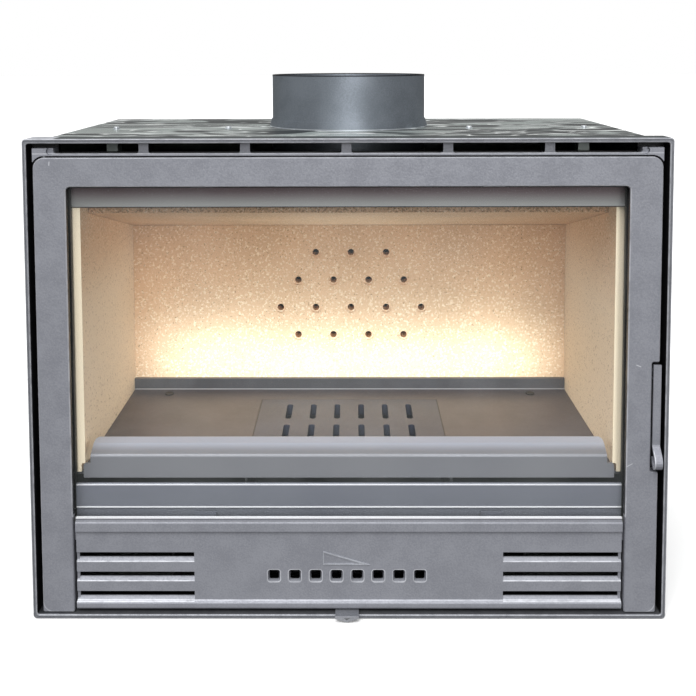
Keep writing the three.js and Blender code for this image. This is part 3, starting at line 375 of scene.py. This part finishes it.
def lip_paint():
    """The front frame: cast paint with painted highlights on its rims, very dark painted shade behind the
    rim, and sheet paint run over its top.
    """
    paint = cast_paint("lip_cast_paint", (118, 120, 126), (132, 134, 140), lip_edges, lip_depth)
    x, y, z = paint.axes
    over = z.ramp(front.top - 0.5 * MM, front.top - 0.2 * MM)
    over = over * x.ramp(TOP_PAINT_START, TOP_PAINT_START + 3 * MM)
    return paint.cover(over * y.ramp(LIP_FACE + 0.3 * MM, LIP_FACE + 1.2 * MM), tone(50, 56, 57))


def frieze_edges(paint):
    """Painted highlight on the ledge's front edge under the warm-air slots."""
    _, _, z = paint.axes
    return band(z, frieze.foot + SLOT_LEDGE, 1.0 * MM) * 0.5


def frieze_depth(paint):
    """Painted shade on the ribs and the walls between the slots, in the shadow behind the frieze's face."""
    x, y, z = paint.axes
    ledge = frieze.foot + SLOT_LEDGE
    row = abs(x).ramp(SLOT_ROW_HALF, SLOT_ROW_HALF - 2.5 * MM) * z.ramp(ledge + 0.2 * MM, ledge + 0.8 * MM)
    return row * y.ramp(frieze.front + 0.5 * MM, frieze.front + 3 * MM, 0.45, 1.0)


def grille_edges(paint):
    """Painted highlights on the lower edges of the louvres, the rims of the ports, and the beads' ridges.
    """
    x, _, z = paint.axes
    slats = abs(x).ramp(LOUVRE_INNER - 0.4 * MM, LOUVRE_INNER + 0.4 * MM)
    lines = None
    for row in range(LOUVRE_ROWS):
        foot = band(z, LOUVRE_TOP - LOUVRE_FOOT - row * LOUVRE_PITCH, 1.1 * MM)
        lines = foot if lines is None else lines.most(foot)
    lines = lines * slats * 0.8
    ridge = band(z, grille.top - 0.3 * MM, 0.9 * MM)
    under = band(z, grille.foot + 9.6 * MM, 0.9 * MM) * 0.35
    return lines.most(ridge).most(under).most(port_rims(paint))


def port_rims(paint):
    """A painted highlight round each square air port."""
    x, _, z = paint.axes
    ports = None
    for i in range(PORTS):
        middle = PORT_MIDDLE + (i - (PORTS - 1) / 2) * PORT_PITCH
        box = ((middle - PORT_HALF, middle + PORT_HALF), (PORT_Z - PORT_HALF, PORT_Z + PORT_HALF))
        rim = band(rounded_box(paint, box, PORT_CORNER), 0.3 * MM, 0.8 * MM)
        ports = rim if ports is None else ports.most(rim)
    return ports * 0.8


def grille_depth(paint):
    """Painted shade on the louvres' walls, darker away from the panel's face, and on the fold over the
    upper bead.
    """
    x, y, z = paint.axes
    walls = y.ramp(PANEL_FACE + 1.6 * MM, PANEL_FACE + 4.2 * MM)
    # the ports' walls get less painted shade
    walls = walls * abs(x).ramp(130 * MM, 140 * MM, 0.25, 0.9)  # the ports' walls stay lighter
    fold = band(z, grille.top - 2.6 * MM, 3.0 * MM, 0.6 * MM) * 0.35
    return walls.most(fold)


def grille_paint():
    """The door's lower panel: cast paint with a painted highlight along its upper edge."""
    paint = cast_paint("grille_cast_paint", (137, 139, 147), (150, 152, 160), grille_edges, grille_depth)
    _, _, z = paint.axes
    return paint.cover(band(z, grille.top - 0.5 * MM, 1.0 * MM), PAINTED_HIGHLIGHT_WHITE)


def smooth_paint(name, top, foot, dark, light, lines=()):
    """Smooth metallic paint on folded sheet, with painted light: lighter towards the top, where light falls
    from above, and painted highlights as bright lines at some heights.
    """
    paint = Paint(name, Metallic=0.3)
    _, _, z = paint.axes
    haze = paint.noise(0.05, detail=3.0, vector=paint.stretched(0.25, 1.0, 1.0))
    grain = paint.noise(0.0012, detail=2.0)
    # painted light: lighter towards the top
    shade = (z.ramp(foot, top) * 0.7 + haze * 0.3).ramp(0.1, 0.9)
    color = paint.blend(shade, tone(*dark), tone(*light))
    # painted highlights: bright lines at the given heights
    for height, width, strength in lines:
        color = paint.blend(band(z, height, width) * strength, color, PAINTED_HIGHLIGHT_WHITE)
    normal = paint.bump(grain, 0.08 * MM, strength=0.5)
    return paint.set(Base_Color=color, Roughness=haze.ramp(0.3, 0.7, 0.47, 0.37), Normal=normal)


def sheet_paint():
    """Glossy greenish grey sheet paint, with painted reflections: dark patches and long pale streaks."""
    paint = Paint("casing_sheet_paint", Metallic=0.1)
    ripple = paint.noise(0.1, 3.0, 0.5, 1.2, paint.stretched(0.5, 1.1, 1.0))
    veins = paint.noise(0.09, 2.0, 0.4, 2.0, paint.stretched(0.3, 1.4, 1.0))
    fine = paint.noise(0.004, detail=2.0)
    # painted reflection: long pale streaks
    light = abs(veins - 0.52).ramp(0.022, 0.0)
    # painted reflection: dark patches over the greenish grey
    color = paint.blend(ripple.ramp(0.5, 0.55), tone(146, 154, 151), tone(30, 35, 36))
    color = paint.blend(ripple.ramp(0.4, 0.35) * 0.8, color, tone(58, 65, 64))
    color = paint.blend(light * 0.95, color, tone(246, 250, 248))
    rough = ripple.ramp(0.4, 0.6, 0.18, 0.4) + fine * 0.06
    normal = paint.bump(ripple * 0.7 + light * 0.2 + fine * 0.1, 0.6 * MM, strength=0.5)
    return paint.set(Base_Color=color, Roughness=rough, Normal=normal)


def side_paint():
    """The same paint on the casing's sides and back, even and satin."""
    paint = Paint("casing_side_paint", Metallic=0.1)
    cloud = paint.noise(0.12, detail=3.0, roughness=0.5)
    fine = paint.noise(0.003, detail=2.0)
    color = paint.blend(cloud.ramp(0.3, 0.7), tone(118, 126, 123), tone(134, 142, 139))
    normal = paint.bump(fine, 0.1 * MM, strength=0.5)
    return paint.set(Base_Color=color, Roughness=cloud.ramp(0.3, 0.7, 0.42, 0.34), Normal=normal)


def round_wall(paint, middle):
    """The smooth normal of an upright round wall about middle; flat faces keep their own."""
    own = paint.node("NewGeometry", output=1)
    offset = paint.node("VectorMath", {"operation": "SUBTRACT"}, {0: paint.place, 1: tuple(middle)})
    level = paint.node("VectorMath", {"operation": "MULTIPLY"}, {0: offset, 1: (1, 1, 0)})
    outward = paint.node("VectorMath", {"operation": "NORMALIZE"}, {0: level})
    facing = paint.node("VectorMath", {"operation": "DOT_PRODUCT"}, {0: own, 1: outward}, 1)
    sided = paint.node("VectorMath", {"operation": "SCALE"}, {0: outward, 3: facing.math("SIGN")})
    settings = {"data_type": "VECTOR"}
    return paint.node("Mix", settings, {0: abs(facing).ramp(0.7, 0.85), 4: own, 5: sided}, 1)


def flue_paint():
    """Satin dark grey paint on the flue collar, with a painted highlight where the ring meets the casing
    and a darker band at the collar's top.
    """
    paint = Paint("flue_paint", Metallic=0.7)
    grain = paint.noise(0.0018, detail=2.0, roughness=0.7)
    cloud = paint.noise(0.05, detail=3.0, roughness=0.6)
    speck = paint.noise(0.0015, detail=1.0).ramp(0.68, 0.76)
    _, _, z = paint.axes
    shade = (cloud * 0.6 + grain * 0.4).ramp(0.35, 0.65)
    color = paint.blend(shade, tone(122, 129, 137), tone(138, 145, 154))
    color = paint.blend(speck * 0.35, color, tone(160, 164, 170))
    # painted highlight where the ring meets the casing
    color = paint.blend(band(z, casing_top.top, 2.0 * MM) * 0.9, color, tone(206, 212, 218))
    # a darker band at the collar's top
    color = paint.blend(band(z, collar.top, 2.2 * MM), color, COLLAR_TOP_DARK)
    normal = paint.bump(grain, 0.2 * MM, strength=0.6, under=round_wall(paint, collar.middle))
    return paint.set(Base_Color=color, Roughness=grain.ramp(0.3, 0.7, 0.52, 0.42), Normal=normal)


def bare_steel(name="bare_steel", dark=(112, 114, 118), light=(150, 152, 156), rough=0.36):
    """Mill-finish sheet with fine rolling lines."""
    paint = Paint(name, Metallic=0.85)
    rolled = paint.noise(0.004, detail=3.0, vector=paint.stretched(0.06, 1.0, 1.0))
    cloud = paint.noise(0.03, detail=3.0)
    color = paint.blend((rolled * 0.5 + cloud * 0.5).ramp(0.35, 0.65), tone(*dark), tone(*light))
    normal = paint.bump(rolled, 0.08 * MM, strength=0.4)
    roughness = cloud.ramp(0.3, 0.7, rough - 0.06, rough + 0.1)
    return paint.set(Base_Color=color, Roughness=roughness, Normal=normal)


def shaded_dark_steel():
    """Very dark sheet inside the door and the air ways: painted shade, as they lie in shadow."""
    return bare_steel("shaded_dark_steel", (26, 26, 29), (40, 40, 44), 0.6)


def header_steel():
    """The plate over the firebox mouth, in painted shade: maroon-brown and darker towards its top, paler at
    its lower edge, with a painted shadow line along that edge.
    """
    paint = Paint("header_steel", Metallic=0.3)
    _, _, z = paint.axes
    cloud = paint.noise(0.02, detail=3.0, vector=paint.stretched(0.3, 1.0, 1.0))
    grain = paint.noise(0.0016, detail=2.0)
    # painted shade: darker upwards from the lower edge
    height = z.ramp(header.foot + 1 * MM, header.foot + 20 * MM) + (cloud - 0.5) * 0.15
    color = paint.blend(height, tone(164, 166, 165), tone(100, 84, 88))
    color = paint.blend(grain.ramp(0.6, 0.75) * 0.3, color, tone(170, 172, 172))
    # painted shadow line along the lower edge
    color = paint.blend(band(z, header.foot + 0.4 * MM, 1.0 * MM), color, PAINTED_SHADE_TONE)
    normal = paint.bump(grain, 0.1 * MM)
    return paint.set(Base_Color=color, Roughness=cloud.ramp(0.3, 0.7, 0.5, 0.4), Normal=normal)


def fire_board(name="fire_board", paler=None):
    """Pressed mineral board: fine tan, pale and brown specks; paler gives the heights of a fade of painted
    light.
    """
    paint = Paint(name, Metallic=0.0)
    cloud = paint.noise(0.09, detail=3.0, roughness=0.5)
    speck = paint.noise(0.0026, detail=2.0, roughness=0.6)
    other = paint.noise(0.0032, detail=2.0, roughness=0.6, vector=paint.stretched(1.0, 1.0, 1.1))
    color = paint.blend(cloud.ramp(0.3, 0.7), tone(217, 179, 143), tone(227, 188, 151))
    if paler is not None:
        _, _, z = paint.axes
        # painted light: paler between the given heights
        color = paint.blend(z.ramp(*paler) * 0.95, color, tone(243, 221, 193))
    color = paint.blend(speck.ramp(0.52, 0.68) * 0.8, color, tone(250, 228, 196))
    color = paint.blend(other.ramp(0.40, 0.28) * 0.9, color, tone(160, 124, 90))
    color = paint.blend(paint.cells(0.006).ramp(0.13, 0.06) * 0.7, color, tone(120, 92, 66))
    normal = paint.bump(speck * 0.5 + other * 0.5, 0.4 * MM, strength=0.7)
    return paint.set(Base_Color=color, Roughness=speck.ramp(0.3, 0.7, 0.95, 0.85), Normal=normal)


def side_board():
    """The side panels' board, with painted light: paler low down, and cream on its sawn front edge, where
    the front light falls.
    """
    paint = fire_board("side_board", paler=(420 * MM, 320 * MM))
    edge = Extent("side_panel_left").front
    _, y, _ = paint.axes
    # painted light on the sawn front edge
    return paint.cover(y.ramp(edge + 1.5 * MM, edge + 0.5 * MM), tone(246, 232, 204))


def baffle_board():
    """The baffle's board, with a crumbly front edge."""
    paint = fire_board("baffle_board")
    crumb = paint.noise(0.0028, detail=2.0, roughness=0.7).ramp(0.5, 0.6)
    _, y, _ = paint.axes
    edge = y.ramp(baffle.front + 1.2 * MM, baffle.front + 0.6 * MM)
    return paint.cover(crumb * edge * 0.55, tone(120, 88, 62))


def floor_iron(name="floor_iron", dark=(84, 81, 87), light=(95, 92, 98), rough=0.42, highlight_and_wear=None):
    """Satin brown-grey heat paint on the hearth plates."""
    paint = Paint(name, Metallic=0.2)
    cloud = paint.noise(0.05, detail=4.0, roughness=0.6)
    grain = paint.noise(0.0015, detail=2.0, roughness=0.7)
    color = paint.blend(cloud.ramp(0.3, 0.7), tone(*dark), tone(*light))
    if highlight_and_wear is not None:
        color = paint.blend(highlight_and_wear(paint), color, HIGHLIGHT_AND_WEAR_TONE)
    normal = paint.bump(grain, 0.15 * MM, strength=0.6)
    roughness = grain.ramp(0.3, 0.7, rough + 0.06, rough - 0.06)
    return paint.set(Base_Color=color, Roughness=roughness, Normal=normal)


def grate_iron():
    """The grate's greyer paint, with painted shade for the gap at its sides."""
    paint = floor_iron("grate_iron", (70, 75, 91), (79, 84, 102))
    x, _, _ = paint.axes
    return paint.cover(abs(x).ramp(grate.right - 1.2 * MM, grate.right - 0.5 * MM), PAINTED_SHADE_TONE)


def lever_edges(paint):
    """Painted highlight on the left edge of the lever's strip and curl, on their front part."""
    x, y, _ = paint.axes
    edge = x.ramp(lever.left + 1.3 * MM, lever.left + 0.5 * MM)
    return edge * y.ramp(lever.front + 9 * MM, lever.front + 7 * MM) * 0.8


def kerb_foot(paint):
    """Painted highlight: a bright line where the kerb stands on the floor plate."""
    _, _, z = paint.axes
    return band(z, kerb.foot + 0.6 * MM, 1.4 * MM) * 0.9


def clear_glass():
    """Clear glass ceramic with the faintest haze."""
    paint = Paint("glass_ceramic", Metallic=0.0, Roughness=0.03, IOR=1.45)
    haze = paint.noise(0.12, detail=3.0, roughness=0.5)
    color = paint.blend(haze, tone(206, 214, 214), tone(232, 238, 238))
    return paint.set(Base_Color=color, Alpha=haze.ramp(0.3, 0.7, 0.015, 0.035))


def rope_fibre(name, pale=(96, 96, 98), dark=(40, 40, 42), pitch=4.2 * MM):
    """Braided glass-fibre, black-grey, with crossing strands."""
    paint = Paint(name, Metallic=0.0, Roughness=0.9)
    x, y, z = paint.axes
    wave = (2 * math.pi) / pitch
    one = ((x + z + y * 2.0) * wave).math("SINE")
    two = ((x - z - y * 2.0) * wave).math("SINE")
    braid = (one * two).ramp(-0.8, 0.8)
    fuzz = paint.noise(0.0009, detail=2.0)
    color = paint.blend((braid * 0.7 + fuzz * 0.3).ramp(0.2, 0.8), tone(*dark), tone(*pale))
    return paint.set(Base_Color=color, Normal=paint.bump(braid * 0.7 + fuzz * 0.3, 0.5 * MM))


# ------------------------------------------------------------------ piece building
def finish_piece(name, mesh, body, paint, smooth_angle=30):
    """Turns a bmesh into an object that rides on its body and takes its finish from a slot."""
    bmesh.ops.remove_doubles(mesh, verts=mesh.verts, dist=1e-6)
    bmesh.ops.recalc_face_normals(mesh, faces=mesh.faces)
    data = bpy.data.meshes.new(name)
    mesh.to_mesh(data)
    mesh.free()
    piece = bpy.data.objects.new(name, data)
    bpy.context.scene.collection.objects.link(piece)
    data.materials.append(paint.material)
    data.shade_smooth()
    data.set_sharp_from_angle(angle=math.radians(smooth_angle))
    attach(piece, body)
    return piece


def verts_in(geometry):
    return [g for g in geometry if isinstance(g, bmesh.types.BMVert)]


def new_disc(mesh, place, radius, height, segments, edge):
    """A short upright cylinder standing on place, with its rims rounded by edge."""
    middle = Vector(place) + Vector((0, 0, height / 2))
    made = bmesh.ops.create_cone(
        mesh,
        cap_ends=True,
        segments=segments,
        radius1=radius,
        radius2=radius,
        depth=height,
        matrix=Matrix.Translation(middle),
    )["verts"]
    picked = set(made)
    rims = [e for e in mesh.edges if picked.issuperset(e.verts) and e.calc_face_angle(0) > 0.7]
    bmesh.ops.bevel(
        mesh,
        geom=rims,
        offset=edge,
        segments=2,
        profile=0.5,
        affect="EDGES",
        material=-1,
        clamp_overlap=True,
    )


def casing_bolts(paint):
    """Four low round-headed bolts that hold the casing's top."""
    washer = 0.8 * MM
    for number, (x, depth) in enumerate(BOLT_SPOTS, 1):
        mesh = bmesh.new()
        base = (x * MM, LIP_FACE + depth * MM, casing_top.top)
        head = (base[0], base[1], base[2] + washer)
        new_disc(mesh, base, radius=4.6 * MM, height=washer, segments=32, edge=0.2 * MM)
        new_disc(mesh, head, radius=3.6 * MM, height=2.4 * MM, segments=24, edge=0.9 * MM)
        finish_piece(f"casing_bolt_{number}", mesh, "insert", paint)


def floor_screws(paint):
    """Two flat round-headed screws in the floor plate's rear corners, each with a round recess."""
    for word, side in (("left", -1), ("right", 1)):
        mesh = bmesh.new()
        place = (side * FLOOR_SCREW_X, LIP_FACE + FLOOR_SCREW_DEPTH, floor_plate.top)
        new_disc(mesh, place, radius=6.2 * MM, height=1.8 * MM, segments=32, edge=0.7 * MM)
        top = max(mesh.faces, key=lambda f: f.calc_center_median().z)
        bmesh.ops.inset_region(mesh, faces=[top], thickness=3.0 * MM, depth=-0.9 * MM, use_even_offset=True)
        finish_piece(f"floor_screw_{word}", mesh, "insert", paint)


def door_rope(paint):
    """The braided rope in the door's channel: a round section led round a rounded rectangle."""
    inset = ROPE_INSET + ROPE_BEND
    left, right = rope.left + inset, rope.right - inset
    foot, top = rope.foot + inset, rope.top - inset
    mesh = bmesh.new()
    ring = bmesh.ops.create_circle(mesh, cap_ends=False, segments=14, radius=ROPE_RADIUS)["verts"]
    bmesh.ops.rotate(mesh, cent=(0, 0, 0), matrix=Matrix.Rotation(math.pi / 2, 3, "Y"), verts=ring)
    bmesh.ops.translate(mesh, vec=(left, rope.middle.y, foot - ROPE_BEND), verts=ring)
    loop = mesh.edges[:]
    width, height = right - left, top - foot
    sides = (
        ((width, 0, 0), (right, foot)),
        ((0, 0, height), (right, top)),
        ((-width, 0, 0), (left, top)),
        ((0, 0, -height), (left, foot)),
    )
    for run, (x, z) in sides:
        made = bmesh.ops.extrude_edge_only(mesh, edges=loop)["geom"]
        bmesh.ops.translate(mesh, vec=run, verts=verts_in(made))
        loop = [g for g in made if isinstance(g, bmesh.types.BMEdge) and g.is_boundary]
        turned = bmesh.ops.spin(
            mesh,
            geom=loop + list({v for e in loop for v in e.verts}),
            cent=(x, rope.middle.y, z),
            axis=(0, -1, 0),
            angle=math.pi / 2,
            steps=6,
        )["geom_last"]
        loop = [g for g in turned if isinstance(g, bmesh.types.BMEdge)]
    piece = finish_piece("door_rope", mesh, "door", paint, smooth_angle=80)
    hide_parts("rope_seal")


def glass_tape(paint):
    """The flat woven tape between the glass and the door."""
    mesh = bmesh.new()
    made = bmesh.ops.create_cube(mesh, size=1.0)["verts"]
    size = (gasket.right - gasket.left, gasket.rear - gasket.front, gasket.top - gasket.foot)
    bmesh.ops.scale(mesh, vec=size, verts=made)
    bmesh.ops.translate(mesh, vec=gasket.middle, verts=made)
    panels = []
    for side in (-1, 1):
        face = next(f for f in mesh.faces if f.normal.y * side > 0.9)
        bmesh.ops.inset_region(mesh, faces=[face], thickness=TAPE_WIDTH, use_even_offset=True)
        panels.append(face)
    edges = [e for f in panels for e in f.edges]
    bmesh.ops.delete(mesh, geom=panels, context="FACES_ONLY")
    bmesh.ops.bridge_loops(mesh, edges=edges)
    piece = finish_piece("glass_tape", mesh, "door", paint)
    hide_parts("glass_gasket")


def air_sign(paint):
    """A thin raised wedge over the ports: more air to the right."""
    mesh = bmesh.new()
    outline = ((SIGN_LEFT, SIGN_FOOT), (SIGN_RIGHT, SIGN_FOOT), (SIGN_LEFT, SIGN_TOP))
    corners = [bmesh.ops.create_vert(mesh, co=(x, PANEL_FACE, z))["vert"][0] for x, z in outline]
    face = bmesh.ops.contextual_create(mesh, geom=corners)["faces"][0]
    bmesh.ops.inset_region(mesh, faces=[face], thickness=SIGN_LINE, use_boundary=True, use_even_offset=True)
    bmesh.ops.delete(mesh, geom=[face], context="FACES")
    raised = verts_in(bmesh.ops.extrude_face_region(mesh, geom=mesh.faces[:])["geom"])
    bmesh.ops.translate(mesh, vec=(0, -SIGN_RISE, 0), verts=raised)
    finish_piece("air_sign", mesh, "door", paint)


def clip_screws(paint):
    """A pan-head screw on each glass clip."""
    for level in ("upper", "lower"):
        for word in ("left", "right"):
            clip = Extent(f"glass_clip_{level}_{word}")
            mesh = bmesh.new()
            z = clip.top - CLIP_SCREW_INSET if level == "upper" else clip.foot + CLIP_SCREW_INSET
            new_disc(mesh, (0, 0, 0), radius=2.6 * MM, height=1.6 * MM, segments=20, edge=0.5 * MM)
            turn = Matrix.Rotation(-math.pi / 2, 3, "X")
            bmesh.ops.rotate(mesh, cent=(0, 0, 0), matrix=turn, verts=mesh.verts[:])
            bmesh.ops.translate(mesh, vec=(clip.middle.x, clip.rear, z), verts=mesh.verts[:])
            finish_piece(f"clip_screw_{level}_{word}", mesh, "door", paint)


# ------------------------------------------------------------------ the whole object
def paint_nodes():
    """Gives every CAD node its finish; returns the plain steel, which the clips' screws share."""
    lining = side_board()
    dark = shaded_dark_steel()
    side = side_paint()
    flue = flue_paint()
    steel = bare_steel()
    # painted highlights along the sill's edges
    sill_highlights = ((sill.top - 1.4 * MM, 1.4 * MM, 0.5), (sill.foot + 14.3 * MM, 1.3 * MM, 0.95))
    chosen = {
        "front_frame": lip_paint(),
        "slot_frieze": cast_paint("frieze_cast_paint", highlight_and_wear=frieze_edges, painted_shade=frieze_depth),
        "door_frame": cast_paint("door_cast_paint", highlight_and_wear=door_edges, painted_shade=window_reveal),
        "grille_panel": grille_paint(),
        "latch_lever": cast_paint("lever_cast_paint", highlight_and_wear=lever_edges),
        "slider_tab": cast_paint("tab_cast_paint", (150, 152, 158), (172, 174, 180)),
        # painted light: the retainer's top face lit pale bluish, its front in shade
        "log_retainer": smooth_paint(
            "retainer_paint", retainer.top, retainer.top - 10 * MM, (134, 136, 142), (182, 190, 206)
        ),
        "sill_bar": smooth_paint(
            "sill_paint", sill.top, sill.foot, (108, 112, 122), (122, 126, 137), sill_highlights
        ),
        "header_plate": header_steel(),
        "baffle": baffle_board(),
        "side_panel_left": lining,
        "side_panel_right": lining,
        "back_panel": fire_board(),
        "floor_plate": floor_iron(),
        "rear_kerb": floor_iron("kerb_iron", (95, 97, 103), (109, 112, 119), 0.45, kerb_foot),
        "grate": grate_iron(),
        "flue_collar": flue,
        "collar_ring": flue,
        "door_glass": clear_glass(),
        "air_slider": cast_paint("register_paint", (110, 112, 118), (128, 130, 136)),
        "latch_pivot": dark,
        "latch_keeper": dark,
        "air_box": dark,
    }
    chosen["glass_clip_lower_left"] = chosen["glass_clip_lower_right"] = chosen["sill_bar"]
    for name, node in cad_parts.items():
        if name.startswith(("casing_", "spacer_")):
            paint = sheet_paint() if name == "casing_top" else side
        elif name.startswith("slider_guide"):
            paint = dark
        else:
            paint = chosen.get(name, steel)
        node.data.materials.clear()
        node.data.materials.append(paint.material)
    return steel


def lit_by(kind, name, energy, place=(0, 0, 0), facing=(0, 0, -1), **settings):
    """A lamp at place that shines towards facing."""
    light = bpy.data.lights.new(name, kind)
    light.energy = energy
    for key, value in settings.items():
        setattr(light, key, value)
    lamp = bpy.data.objects.new(name, light)
    lamp.location = place
    lamp.rotation_euler = Vector(facing).to_track_quat("-Z", "Y").to_euler()
    bpy.context.scene.collection.objects.link(lamp)
    return lamp


def white_room():
    """White behind the object; as a light the room is bright above and dim below."""
    world = bpy.data.worlds.new("white_room")
    bpy.context.scene.world = world
    world.use_nodes = True
    tree = world.node_tree

    def add(kind, settings=(), **inputs):
        made = tree.nodes.new("ShaderNode" + kind)
        for key, value in settings:
            setattr(made, key, value)
        for number, value in inputs.items():
            socket = made.inputs[int(number[1:])]
            if isinstance(value, bpy.types.NodeSocket):
                tree.links.new(value, socket)
            else:
                socket.default_value = value
        return made

    split = add("SeparateXYZ", i0=add("TexCoord").outputs["Generated"])
    up = add("Math", (("operation", "MAXIMUM"),), i0=split.outputs[2], i1=0.0)
    sky = add("Math", (("operation", "MULTIPLY_ADD"),), i0=up.outputs[0], i1=SKY_RISE, i2=SKY_BASE)
    seen = add("LightPath").outputs["Is Camera Ray"]
    strength = add("Mix", i0=seen, i2=sky.outputs[0], i3=1.0)
    background = tree.nodes["Background"]
    background.inputs["Color"].default_value = (1, 1, 1, 1)
    tree.links.new(strength.outputs[0], background.inputs["Strength"])


def stage_floor():
    """A pale floor that carries the object's shadow but sends no light back."""
    mesh = bmesh.new()
    bmesh.ops.create_grid(mesh, x_segments=1, y_segments=1, size=30.0)
    data = bpy.data.meshes.new("stage_floor")
    mesh.to_mesh(data)
    mesh.free()
    floor = bpy.data.objects.new("stage_floor", data)
    floor.location.z = -0.5 * MM
    bpy.context.scene.collection.objects.link(floor)
    paint = Paint("stage_floor", Roughness=1.0, Emission_Strength=FLOOR_GLOW)
    grain = paint.noise(0.4)
    paint.set(Base_Color=paint.blend(grain, (0.94, 0.94, 0.94, 1), (0.96, 0.96, 0.96, 1)))
    paint.set(Emission_Color=paint.blend(grain, (0.99, 0.99, 0.99, 1), (1, 1, 1, 1)))
    data.materials.append(paint.material)
    floor.visible_diffuse = False
    floor.visible_glossy = False


def studio():
    """Soft light from the front and above, and the glow low on the rear board."""
    bpy.context.scene.view_settings.view_transform = "Standard"
    white_room()
    stage_floor()
    lit_by("SUN", "key_lamp", KEY_POWER, facing=(0.22, 0.62, -0.9), angle=math.radians(40))
    lit_by("SUN", "front_lamp", FRONT_POWER, facing=(-0.1, 1.0, -0.22), angle=math.radians(30))
    glow = lit_by(
        "AREA",
        "board_lamp",
        BOARD_POWER,
        (0, back_board.front - 62 * MM, kerb.top + 22 * MM),
        (0, 1, 0.08),
        shape="RECTANGLE",
        size=0.53,
        size_y=0.06,
        color=BOARD_COLOR,
    )
    only_on(glow, "back_panel")
    inner = lit_by(
        "POINT",
        "lining_lamp",
        LINING_POWER,
        (0, back_board.front - 110 * MM, kerb.top + 25 * MM),
        shadow_soft_size=0.08,
        color=LINING_COLOR,
    )
    only_on(inner, "side_panel_left", "side_panel_right", "baffle")
    edge = lit_by("SUN", "edge_lamp", EDGE_POWER, facing=(-0.12, 1.0, -0.05), angle=math.radians(8))
    only_on(edge, "side_panel_left", "side_panel_right")


def only_on(lamp, *nodes):
    """Keeps a lamp's light to some nodes."""
    lit = bpy.data.collections.new(lamp.name + "_receivers")
    for name in nodes:
        lit.objects.link(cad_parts[name])
    lamp.light_linking.receiver_collection = lit


def camera():
    """The photograph's view: a little above the top, looking slightly down."""
    lens = bpy.data.cameras.new("photo_camera")
    lens.sensor_width = 36.0
    lens.lens = FOCAL_PIXELS / FRAME_PIXELS * lens.sensor_width
    lens.shift_y = (AXIS_ROW - FRAME_PIXELS / 2) / FRAME_PIXELS
    lens.clip_start = 0.05
    view = bpy.data.objects.new("photo_camera", lens)
    tilt, turn, roll = math.radians(4.02), math.radians(0.33), math.radians(-0.15)
    facing = Matrix.Rotation(turn, 4, "Z") @ Matrix.Rotation(math.pi / 2 - tilt, 4, "X")
    place = Matrix.Translation((CAMERA_SIDE, LIP_FACE - CAMERA_BACK, CAMERA_HEIGHT))
    view.matrix_world = place @ facing @ Matrix.Rotation(roll, 4, "Z")
    bpy.context.scene.collection.objects.link(view)
    bpy.context.scene.camera = view


camera()
steel = paint_nodes()
# bright steel heads, lightened to near-white as painted highlight
casing_bolts(bare_steel("bolt_steel", (190, 194, 198), (226, 230, 234), 0.4))
floor_screws(bare_steel("screw_steel", (60, 58, 56), (86, 84, 82), 0.4))
door_rope(rope_fibre("rope_fibre"))
glass_tape(rope_fibre("tape_fibre", (118, 118, 116), (70, 70, 70), 2.4 * MM))
# painted highlight: the wedge lighter than the panel round it, as its raised rim catches light
air_sign(cast_paint("sign_paint", (160, 163, 170), (190, 193, 200)))
clip_screws(steel)
studio()
